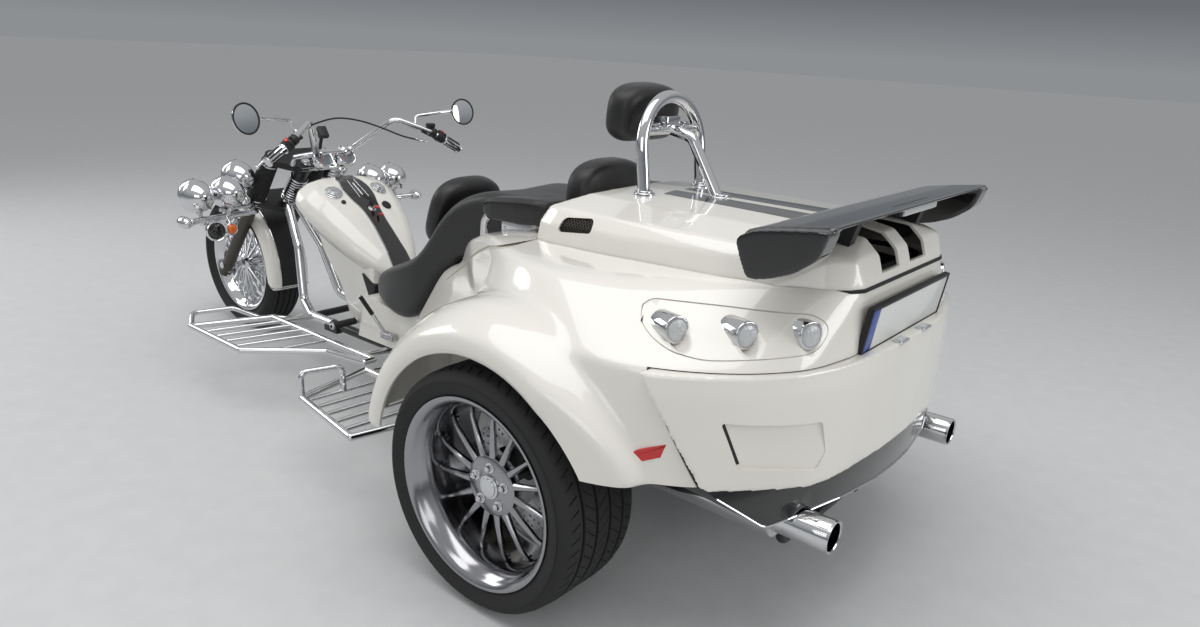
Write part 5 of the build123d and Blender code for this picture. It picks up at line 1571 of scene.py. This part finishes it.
def boot_section():
    """Ribbed sleeve that gets slimmer toward its top."""
    profile = [(0, 23)]
    for k in range(BOOT_RIBS):
        z = 4 + k * BOOT_PITCH
        r = 43.5 - z * 0.026
        profile += [(z, r - 1.8), (z + 2, r), (z + 9, r), (z + 11, r - 1.8)]
    return profile + [(BOOT_LONG, 30), (BOOT_LONG, 23)]


def fork_leg(s, legs, tubes, bolts, boots):
    y = s * LEG_HALF

    def bar(bm, s0, s1, radius, segments, bevel):
        cylinder(bm, on_fork(s0, LEG_FORWARD, y), on_fork(s1, LEG_FORWARD, y), radius, segments, bevel=bevel)

    for s0, s1, r, bevel in ((-64, -42, 29, 4), (-42, 440, 27.5, 1.5), (436, 476, 30.5, 3)):
        bar(legs, s0, s1, r, 56, bevel)
    bar(tubes, 470, 774, 22, 48, 3)
    bar(tubes, 768, 780, 19, 6, 1.5)
    for y0, y1, r, segments in ((98, 154, 11, 32), (155, 163, 17, 6), (62, 103, 20, 40)):
        cylinder(tubes, (FRONT_X, s * y0, FRONT_Z), (FRONT_X, s * y1, FRONT_Z), r, segments, bevel=2)
    for a in (-52, -26):
        cylinder(bolts, on_fork(a, 36, y), on_fork(a, 29, y), 6, 6, bevel=1)
    for a in (YOKE_LOW + 17, YOKE_HIGH + 17):
        ends = [on_fork(a, LEG_FORWARD - 8, s * out) for out in (152, 172)]
        cylinder(bolts, *ends, 7, 6, bevel=1.2)
    at = on_fork(504, LEG_FORWARD, y)
    lathed(boots, boot_section(), facing(at, on_fork(600, LEG_FORWARD, y) - at), 56)
    for a, r in ((506, 45), (722, 39)):
        at = on_fork(a, LEG_FORWARD, y)
        lathed(tubes, ((0, r - 4), (0, r), (7, r), (7, r - 4)),
               facing(at, on_fork(a + 10, LEG_FORWARD, y) - at), 56)


def fork():
    legs, tubes, bolts, boots = fresh(4)
    for s in (1, -1):
        fork_leg(s, legs, tubes, bolts, boots)
    top = on_fork(YOKE_HIGH + YOKE_T, 0)
    lathed(tubes, STEM_NUT, facing(top, on_fork(900, 0) - top), 6)
    piece(legs, "fork_legs", fork_grey, "steering", ("fork",))
    piece(tubes, "fork_tubes", chrome, "steering")
    piece(bolts, "fork_bolts", chrome, "steering")
    piece(boots, "fork_boots_ribbed", rubber, "steering", ("fork_boots",), 50)
    plates = combined(yoke(YOKE_LOW, "fork_yokes"), [yoke(YOKE_HIGH, "upper")], "UNION")
    shown(plates, powder, "steering")


fork()

# %% [markdown]
# Two bright things stay with the frame: the spring round the bearing tube, a helix worked out by
# a loop, and sleeves on the down tubes.

# %% Head spring and down tubes
SPRING_TURNS, SPRING_STEPS, SPRING_R = 9, 20, 36.5
RAIL_Y, RAIL_Z = 130, 235


def head_spring():
    bm = bmesh.new()
    axis = (on_fork(600, 0) - on_fork(500, 0)).normalized()
    side, other = Vector((0, 1, 0)), axis.cross(Vector((0, 1, 0)))
    path = []
    for k in range(SPRING_TURNS * SPRING_STEPS + 1):
        a = FULL_TURN * k / SPRING_STEPS
        middle = on_fork(545 + 130 * k / (SPRING_TURNS * SPRING_STEPS), 0)
        path.append(middle + (side * math.cos(a) + other * math.sin(a)) * SPRING_R)
    swept(bm, path, 4.2, 0, 8, 1)
    for a, b in ((535, 545), (675, 685)):
        cylinder(bm, on_fork(a, 0), on_fork(b, 0), 41, 40, bevel=2)
    piece(bm, "head_spring", chrome, "body")


def down_tubes():
    bm = bmesh.new()
    for s in (1, -1):
        swept(bm, [on_fork(535, -23, s * 22), (985, s * 60, 500), (915, s * 95, 275),
                   (800, s * RAIL_Y, RAIL_Z), (640, s * RAIL_Y, RAIL_Z)], 20.5, 60, 32, 10)
        cylinder(bm, (646, s * RAIL_Y, RAIL_Z), (634, s * RAIL_Y, RAIL_Z), 23, 32, bevel=2)
        swept(bm, [(796, s * RAIL_Y, 236), (800, s * 230, 240), (838, s * 292, 250)], 12, 60, 20, 6)
    piece(bm, "down_tubes", chrome, "body", sharp=50)


head_spring()
down_tubes()

# %% [markdown]
# The front mudguard is deep, with a wide black band down its back. It is part of a spun section,
# trimmed at both ends by an outline drawn on its side.

# %% Front mudguard
GUARD_OUT = ((-98, 300), (-98, 336), (-95, 350), (-84, 359), (-59, 365), (0, 368), (59, 365), (84, 359),
             (95, 350), (98, 336), (98, 300))
GUARD_R, GUARD_END = 368, 189.3


def arc(radius, *degrees):
    """Points of X and Z on an arc about the front axle."""
    return [(FRONT_X + x, FRONT_Z + z) for x, z in [polar(radius, a) for a in degrees]]


def mudguard():
    inner = [(y * 0.955, r - 4) for y, r in reversed(GUARD_OUT)]
    inner[0], inner[-1] = (94, 300), (-94, 300)
    ring = spun(list(GUARD_OUT) + inner, (FRONT_X, 0, FRONT_Z), start=-42, sweep=-149, steps=72)
    guard = loose(ring, "front_mudguard")
    ends = arc(420, *range(47, 182, 9)) + arc(400, 189) + arc(352, 191) + arc(312, 187) + arc(296, 174)
    ends += arc(302, *range(165, 60, -9)) + arc(318, 50) + arc(352, 44)
    combined(guard, [loose(side_solid(ends, -120, 120), "ends")], "INTERSECT")
    plan = arc(400, 112, *range(120, 189, 9), 188) + arc(330, 188, *range(180, 119, -9), 112)
    band = skin(guard, loose(side_solid(plan, -60, 60), "region"), 1.6, "mudguard_band")
    shown(guard, white, "steering", ("front_fender",), 40)
    shown(band, plastic, "steering", sharp=50)


def mudguard_trim():
    """Bright lines beside the band, the brackets to the fork with their bolts, and the lower edge."""
    trim = bmesh.new()
    for s in (1, -1):
        swept(trim, [(x, s * 61, z) for x, z in arc(GUARD_R, *range(112, 190, 4))], 2.4, 0, 8, 1)
        for a in (298, 320):
            at = on_fork(a, LEG_FORWARD, s * 100)
            cylinder(trim, at, at + Vector((0, s * 4, 0)), 8, 6, bevel=1)
        bracket = [tuple(on_fork(a, f, s * y)) for a in (288, 332) for f in (44, 76) for y in (99, 103)]
        joined(trim, hulled(bracket, mirror=False))
    low = [(*arc(r, GUARD_END)[0], y) for y, r in GUARD_OUT[1:-1]]
    swept(trim, [(x, y, z) for x, z, y in low], 3.0, 6, 8, 2)
    piece(trim, "mudguard_trim", chrome, "steering")


mudguard()
mudguard_trim()

# %% [markdown]
# The front wheel is narrow and tall: the rear wheels' functions with other numbers.

# %% Front wheel
SPOKES = 20
FRONT_HUB = ((-55, 12.2), (-55, 30), (-50, 34), (-44, 46), (-30, 48), (-22, 34), (22, 34), (30, 48),
             (44, 46), (50, 34), (55, 30), (55, 12.2))


def front_wheel():
    centre = (FRONT_X, 0, FRONT_Z)
    casing = tyre_form(327, 180, 228, 243, 140, "front_tyre_treaded")
    tread(casing, 327, 180, 64, (-46, -15, 15, 46), 4.5)
    shown(put(casing, centre), tyre_rubber, "front_wheel", ("front_tyre",), 32)
    bm = barrel_form(228, 243, 140, 22)
    for s in (1, -1):
        around(bm, cleaned(blade(40, 206, s * 38, 13, 6, s * 12)), SPOKES, 0.25 * s)
    joined(bm, spun(FRONT_HUB, steps=72))
    rim = put(loose(bm, "front_wheel_rim"), centre)
    shown(rim, chrome, "front_wheel", ("front_rim",), 40)


front_wheel()

# %% [markdown]
# The handlebar rises from its risers to a high bend and falls back to the grips. Each grip is a
# turned sleeve with eight rubber bands.

# %% Handlebar and grips
BAR = ((752, 92, 966), (601, 207, 1103), (503, 352, 1042), (482, 466, 978))
RISER_TOP = (770, 62, 954)
GRIP_START = 44
CLAMP = ((-17, 14), (-17, 23), (-14, 25), (14, 25), (17, 23), (17, 14))


def side_of(point, s):
    return Vector((point[0], point[1] * s, point[2]))


def grip_line(s):
    """Inner end of a grip, its direction, and the length from there to the bar's end."""
    a, b = side_of(BAR[2], s), side_of(BAR[3], s)
    return a, (b - a).normalized(), (b - a).length


def handlebar():
    bm = bmesh.new()
    line = [side_of(p, 1) for p in BAR[::-1]] + [Vector((770, 60, 954)), Vector((770, -60, 954))]
    swept(bm, line + [side_of(p, -1) for p in BAR], 14, 62, 24, 8)
    for s in (1, -1):
        foot = on_fork(YOKE_HIGH + YOKE_T, 0, s * 64)
        swept(bm, [foot, foot + Vector((-20, 0, 34)), Vector((776, s * 62, 950))], 13, 40, 20, 5)
        for shift in (-9, 9):
            cylinder(bm, (784, s * 62 + shift, 962), (792, s * 62 + shift, 972), 4.5, 6)
        lathed(bm, CLAMP, facing(side_of(RISER_TOP, s), (0, 1, 0)), 40)
    piece(bm, "handlebar_tube", chrome, "steering", ("handlebar",), 50)


def grips():
    sleeves, bands = fresh(2)
    for s in (1, -1):
        a, along, reach = grip_line(s)
        place, length = facing(a + along * GRIP_START, along), reach - GRIP_START
        lathed(sleeves, ((0, 14), (0, 21), (4, 22), (10, 18.5), (length - 4, 17.5), (length, 20.5),
                         (length + 5, 20.5), (length + 9, 15), (length + 10, 0), (length, 0), (length, 14)),
               place, 40)
        for k in range(8):
            x, y = polar(17.2, 45 * k)
            joined(bands, cylinder(bmesh.new(), (x, y, 14), (x, y, length - 8), 3.6, 10, bevel=1), place)
    piece(sleeves, "grip_sleeves", chrome, "steering", ("grips",), 50)
    piece(bands, "grip_bands", rubber, "steering", sharp=50)


handlebar()
grips()

# %% [markdown]
# Each side has a black switch box, a slim lever ahead of the grip and a red button, all placed by
# the grip's own direction. The right side has the brake's reservoir, the left riser one more box.

# %% Controls
RESERVOIR = ((0, 0), (0, 16), (4, 18), (26, 19), (30, 21), (38, 21), (41, 18), (41, 0))
LEFT_BOX_AT, LEFT_BOX_WAY = (736, 62, 1042), (-0.75, 0.1, 0.62)


def control_set(s, boxes, levers, buttons):
    """Placed from the grip's inner end by three ways: along, ahead and up."""
    a, along, _ = grip_line(s)
    ahead = Vector((0.93, 0.1 * s, -0.2))
    ahead = (ahead - along * ahead.dot(along)).normalized()
    up = along.cross(ahead) * s
    up = up if up.z > 0 else -up
    for lo, hi, r in ((8, 24, 25), (24, 43, 23)):
        cylinder(boxes, a + along * lo, a + along * hi, r, 32, bevel=3)
    cylinder(boxes, a + along * 14 + ahead * 20, a + along * 14 + ahead * 40, 10, 20, bevel=2)
    cylinder(boxes, a - along * 26, a - along * 2, 20, 28, bevel=3)
    swept(boxes, [a - along * 60 + ahead * 12 - up * 14, a - along * 8 + ahead * 20 - up * 8,
                  a + along * 14 + ahead * 30], 8, 10, 12, 3)
    pivot = a + along * 12 + ahead * 40
    path = [pivot, a + along * 40 + ahead * 54, a + along * 100 + ahead * 52,
            a + along * 158 + ahead * 44 - up * 4]
    swept(levers, path, lambda t: 6.5 - 2.4 * t, 26, 14, 5)
    ball(levers, path[-1], 7.5, segments=16)
    cylinder(levers, pivot + up * 9, pivot - up * 9, 7, 20, bevel=1.5)
    at = a + along * 22 - ahead * 10 + up * 20
    joined(buttons, block(bmesh.new(), -7, 7, -9, 9, -4, 6, 2), facing(at, up - ahead * 0.6))
    for k in (-1, 1):
        at = a + along * 34 - ahead * 20 + up * (4 + 9 * k)
        joined(boxes, block(bmesh.new(), -4, 4, -5, 5, -3, 4, 1.5), facing(at, -ahead))
    if s < 0:
        lathed(boxes, RESERVOIR, facing(a - along * 14 + ahead * 18, Vector((0, 0, 1))), 32)


def controls():
    boxes, levers, buttons = fresh(3)
    for s in (1, -1):
        control_set(s, boxes, levers, buttons)
    for half_x, half_y, z0, z1, bevel in ((20, 26, -9, 12, 5), (12, 12, -30, -8, 4)):
        box = block(bmesh.new(), -half_x, half_x, -half_y, half_y, z0, z1, bevel, 3)
        joined(boxes, box, facing(LEFT_BOX_AT, LEFT_BOX_WAY))
    swept(boxes, [(748, 62, 1016), (752, 66, 990), (764, 62, 962)], 7, 20, 14, 4)
    piece(boxes, "switch_boxes", plastic, "steering", ("hand_controls",))
    piece(levers, "hand_levers", chrome, "steering", sharp=50)
    piece(buttons, "kill_switches", red_lens, "steering")


controls()

# %% [markdown]
# Round mirrors look back at the rider from bent stems. Shell, rubber rim and glass are turned
# sections in one place, and the glass is brighter and smoother than chrome.

# %% Mirrors
STEM = ((562, 290, 1068), (578, 305, 1113), (536, 470, 1134))
MIRROR_AT, MIRROR_WAY = (521, 521, 1130), (-0.97, -0.16, 0.18)
MIRROR_SHELL = ((-19, 0), (-18, 20), (-14, 38), (-8, 50), (0, 56), (8, 57), (8, 54), (0, 50), (-8, 40),
                (-14, 0))
MIRROR_RIM = ((5, 50), (5, 56.5), (10, 57.5), (12, 55.5), (12, 53), (8, 50))
MIRROR_GLASS = ((6, 0), (6, 52), (8.6, 52.5), (10.2, 30), (10.8, 0))


def mirrors():
    shells, rims, glasses = fresh(3)
    for s in (1, -1):
        place = facing(side_of(MIRROR_AT, s), side_of(MIRROR_WAY, s))
        for bm, section in ((shells, MIRROR_SHELL), (rims, MIRROR_RIM), (glasses, MIRROR_GLASS)):
            lathed(bm, section, place, 64)
        path = [side_of(p, s) for p in STEM]
        swept(shells, path, lambda t: 5.2 + 4.0 * max(0.0, t - 0.72) / 0.28, 14, 16, 6)
        lathed(shells, ((0, 0), (0, 11), (10, 11), (16, 8), (16, 0)),
               facing(path[0] - Vector((0, 0, 4)), path[1] - path[0]), 20)
    piece(shells, "mirror_shells", chrome, "steering", ("mirrors",), 50)
    piece(rims, "mirror_rims", rubber, "steering", sharp=50)
    piece(glasses, "mirror_glass", mirror_glass, "steering", sharp=60, slot="chrome")


mirror_glass = metal("mirror_glass", "#E6E8EA", 0.015, 0.01)
mirrors()

# %% [markdown]
# The clutch cable is held by a bright ferrule at each lever, and bows up over the clocks between
# them. It turns with the bar, so its route is a list of given points, smoothed.

# %% Clutch cable
CABLE = ((522, 318, 1052), (560, 262, 1078), (600, 170, 1098), (628, 60, 1110), (624, -40, 1098),
         (600, -130, 1070), (560, -215, 1034), (528, -292, 1014))
CABLE_R = 3.4


def cable():
    line = [Vector(p) for p in curve(CABLE, 8)]
    hose = swept(bmesh.new(), line, CABLE_R, 0, 12, 1)
    piece(hose, "clutch_hose", rubber, "steering", ("clutch_cable",), 60, slot="black_satin")
    ferrules = bmesh.new()
    for end, inner in ((line[0], line[2]), (line[-1], line[-3])):
        out = (end - inner).normalized()
        cylinder(ferrules, end - out * 26, end + out * 6, 5.4, 16, bevel=1)
        cylinder(ferrules, end + out * 4, end + out * 26, CABLE_R - 0.2, 12, bevel=0.6)
    piece(ferrules, "cable_ferrules", chrome, "steering", sharp=50)


cable()

# %% [markdown]
# Two clocks look back at the rider. A dial's marks are thin blocks laid round a three-quarter
# circle, every fifth one longer, and the needle is one more, turned to its reading.

# %% Clocks
CLOCK_Y, CLOCK_WAY = 57, (-0.78, 0, 0.62)
CAN = ((-50, 0), (-49, 20), (-40, 34), (-24, 41), (-8, 43), (0, 43.5), (7, 43.5), (9, 41.5), (8, 37.5),
       (2, 37.5), (1, 0))
FIRST_MARK, MARKS_SPREAD, MARKS = 225, 270, 40


def clocks():
    cans, dials, marks, needles = fresh(4)
    for s in (1, -1):
        place = facing((753, s * CLOCK_Y, 933), CLOCK_WAY)
        lathed(cans, CAN, place, 64)
        lathed(dials, ((0, 0), (0, 37.6), (2.6, 37.6), (2.6, 0)), place, 64)
        for k in range(MARKS + 1):
            a = FIRST_MARK - MARKS_SPREAD * k / MARKS
            long = 6.5 if k % 5 == 0 else 3.2
            x, y = polar(34.5 - long / 2, a)
            turn = Matrix.Translation((x, y, 2.5)) @ Matrix.Rotation(math.radians(a), 4, "Z")
            joined(marks, block(bmesh.new(), -long / 2, long / 2, -0.45, 0.45, 0, 0.5), place @ turn)
        reading = Matrix.Rotation(math.radians(225 if s > 0 else 210), 4, "Z")
        needle = block(bmesh.new(), -7, 27, -0.8, 0.8, 0, 1.0)
        joined(needles, needle, place @ Matrix.Translation((0, 0, 3.4)) @ reading)
        lathed(marks, ((0, 0), (0, 2.6), (2.6, 2), (2.6, 0)), place @ Matrix.Translation((0, 0, 2.4)), 20)
        swept(cans, [(786, s * CLOCK_Y, 903), (812, s * 52, 880), on_fork(YOKE_HIGH + 20, -20, s * 40)],
              8, 14)
    piece(cans, "gauge_cans", chrome, "steering", ("gauges",), 40)
    piece(dials, "gauge_dials", dial_face, "steering", slot="black_satin")
    piece(marks, "gauge_marks", plate_white, "steering", slot="black_satin")
    piece(needles, "gauge_needles", amber_lens, "steering", slot="red_lens")


clocks()

# %% [markdown]
# Six chromed lamps on a cross bar look ahead: the camera sees their round backs. Bullet
# indicators end the bar, and two small lamps hang below each side. All are turned sections.

# %% Lamps and lamp bar
LAMP_PLACES = ((1001, 494, 776), (990, 364, 781), (1122, 240, 822))
BOWL = ((-71, 0), (-70, 13), (-64, 28), (-52, 42), (-36, 54), (-18, 61.5), (0, 64.5), (12, 65), (14, 67.5),
        (18, 68.5), (32, 68.5), (35, 67), (36, 63), (33, 60), (26, 59), (26, 0))
LAMP_GLASS = ((28, 0), (28, 60), (34, 59), (38, 44), (41, 22), (42, 0))
BULLET = ((0, 0), (2, 9), (10, 17), (24, 23.5), (40, 25), (56, 25), (58, 24), (58, 20), (50, 0))
BULLET_AMBER = ((50, 0), (50, 21), (58, 21.5), (62, 14), (63, 0))
RING = ((-14, 34), (-14, 42), (2, 44), (10, 43), (12, 39), (9, 35), (2, 33))
RING_BACK = ((-16, 0), (-16, 35), (0, 35), (6, 20), (8, 0))
RING_AMBER = ((-40, 0), (-38, 20), (-28, 34), (-14, 40), (-14, 0))
SMALL = ((-22, 0), (-20, 16), (-8, 24), (4, 26), (6, 24), (0, 0))
SMALL_AMBER = ((2, 0), (2, 23), (8, 21), (14, 11), (16, 0))


def headlamps(s, bowls, glasses, dark):
    for x, y, z in LAMP_PLACES:
        place = facing((x, s * y, z), (1, 0, 0))
        lathed(bowls, BOWL, place, 72)
        lathed(glasses, LAMP_GLASS, place, 64)
        cylinder(bowls, (x + 2, s * y, z - 63), (x + 2, s * y, z - 76), 13, 28, bevel=3)
        for k in (-1, 1):
            cylinder(dark, (x + 25, s * y, z + k * 66), (x + 25, s * y, z + k * 70.5), 3, 12)
        cylinder(dark, (x - 60, s * y, z - 22), (x - 80, s * y - 12 * s, z - 40), 4, 12)


def lamps():
    bowls, glasses, ambers, dark = fresh(4)
    for s in (1, -1):
        headlamps(s, bowls, glasses, dark)
        bullet, ring, small = [facing((x, s * y, z), (way_x, way_y * s, 0)) for x, y, z, way_x, way_y in
                               ((905, 586, 687, 1, 0), (960, 451, 634, -1, 0.15), (962, 384, 634, -1, 0.1))]
        for bm, section, place, segments in (
                (bowls, BULLET, bullet, 40), (ambers, BULLET_AMBER, bullet, 40), (bowls, RING, ring, 56),
                (dark, RING_BACK, ring, 56), (ambers, RING_AMBER, ring, 48), (bowls, SMALL, small, 40),
                (ambers, SMALL_AMBER, small, 40)):
            lathed(bm, section, place, segments)
        for x, y, z in ((960, 451, 672), (962, 384, 656)):
            cylinder(bowls, (x + 8, s * y, z), (x + 30, s * y, 682), 6, 16)
    piece(bowls, "lamp_bowls", chrome, "steering", ("headlamps", "indicators"), 50)
    piece(glasses, "lamp_glasses", clear_lens, "steering", sharp=50)
    piece(ambers, "amber_lenses", amber_lens, "steering", sharp=50, slot="red_lens")
    piece(dark, "lamp_details", black_gloss, "steering", sharp=50, slot="black_satin")


def lamp_bar():
    """Two tubes a side from the fork, lamp stalks with their clamps, and a collar round each leg."""
    bm = bmesh.new()
    for s in (1, -1):
        swept(bm, [on_fork(455, 40, s * 100), (1195, s * 159, 683), (1070, s * 225, 672),
                   (945, s * 560, 687)], 13, 60, 24, 6)
        swept(bm, [(1165, s * 172, 712), (1060, s * 236, 704), (1002, s * 404, 709)], 8, 50, 16, 5)
        for x, y, z in LAMP_PLACES:
            foot_x = 1070 - (y - 225) * 125 / 335
            swept(bm, [(foot_x, s * y, 680), (foot_x + (x - foot_x) * 0.3, s * y, z - 92),
                       (x + 2, s * y, z - 70)], 8, 20, 14, 4)
            cylinder(bm, (foot_x + 9, s * (y - 16), 679), (foot_x - 3, s * (y + 16), 679), 18, 32, bevel=3)
        lathed(bm, ((-12, 28), (-12, 36), (12, 36), (12, 28)),
               facing(on_fork(430, LEG_FORWARD, s * LEG_HALF), on_fork(440) - on_fork(430)))
        cylinder(bm, (938, s * 556, 687), (938, s * 566, 687), 16, 32, bevel=2)
    piece(bm, "lamp_rail", chrome, "steering", ("lamp_bar",), 50)


lamps()
lamp_bar()

# %% [markdown]
# A plain pale studio: a floor that runs out of sight, a wide soft light overhead, a weaker one
# at each side, and a pale sky. Chrome needs something dark to mirror as well, so the sky falls
# from bright overhead to a darker grey near the horizon.

# %% Studio
SKY = ((0.0, "#B9BCC0"), (0.06, "#8E9399"), (0.22, "#C8CCD0"), (0.55, "#F4F5F6"))
SKY_STRENGTH = 0.55
SOFT_BOXES = (("over", (-0.6, 1.2, 5.5), (0, 0, 0.5), (6.0, 4.0), 165),
              ("left", (-3.4, 5.0, 2.6), (-0.4, 0, 0.6), (4.0, 2.2), 38),
              ("rear", (-6.0, -1.5, 2.2), (-0.8, 0, 0.6), (2.4, 2.0), 60),
              ("front", (5.0, 2.0, 3.0), (0.8, 0, 0.6), (2.4, 2.4), 60))
FLOOR_HALF, FLOOR_SPECK = 60, 90


def sky():
    world = bpy.data.worlds.new("studio")
    bpy.context.scene.world = world
    world.use_nodes = True
    tree = world.node_tree
    place = add(tree, "ShaderNodeTexCoord")
    split = add(tree, "ShaderNodeSeparateXYZ", Vector=place.outputs["Generated"])
    ramp = add(tree, "ShaderNodeValToRGB", Fac=split.outputs["Z"])
    stops = ramp.color_ramp.elements
    for stop, (position, code) in zip((stops[0], stops[1]), (SKY[0], SKY[-1])):
        stop.position, stop.color = position, linear(code)
    for position, code in SKY[1:-1]:
        stops.new(position).color = linear(code)
    feed(tree, tree.nodes["Background"], Color=ramp.outputs["Color"], Strength=SKY_STRENGTH)


def soft_box(name, at, target, size, power):
    """An area light that looks at a point, in metres and watts."""
    data = bpy.data.lights.new(name, "AREA")
    data.shape = "RECTANGLE"
    data.size, data.size_y = size
    data.energy = power
    lamp = bpy.data.objects.new(name, data)
    lamp.location = at
    lamp.rotation_euler = (Vector(target) - Vector(at)).to_track_quat("-Z", "Y").to_euler()
    bpy.context.scene.collection.objects.link(lamp)


def floor():
    bm = bmesh.new()
    bmesh.ops.create_grid(bm, x_segments=1, y_segments=1, size=FLOOR_HALF)
    mesh = bpy.data.meshes.new("floor")
    bm.to_mesh(mesh)
    bm.free()
    ground = bpy.data.objects.new("floor", mesh)
    bpy.context.scene.collection.objects.link(ground)
    material, tree, base, place = shader("pale_floor", "#C9CACA", 0.7)
    mottled(tree, base, place, FLOOR_SPECK, "#C4C5C6", "#CFD0D0", detail=3.0, rough=0.5)
    mesh.materials.append(material)


sky()
for box in SOFT_BOXES:
    soft_box(*box)
floor()
print("studio ready")
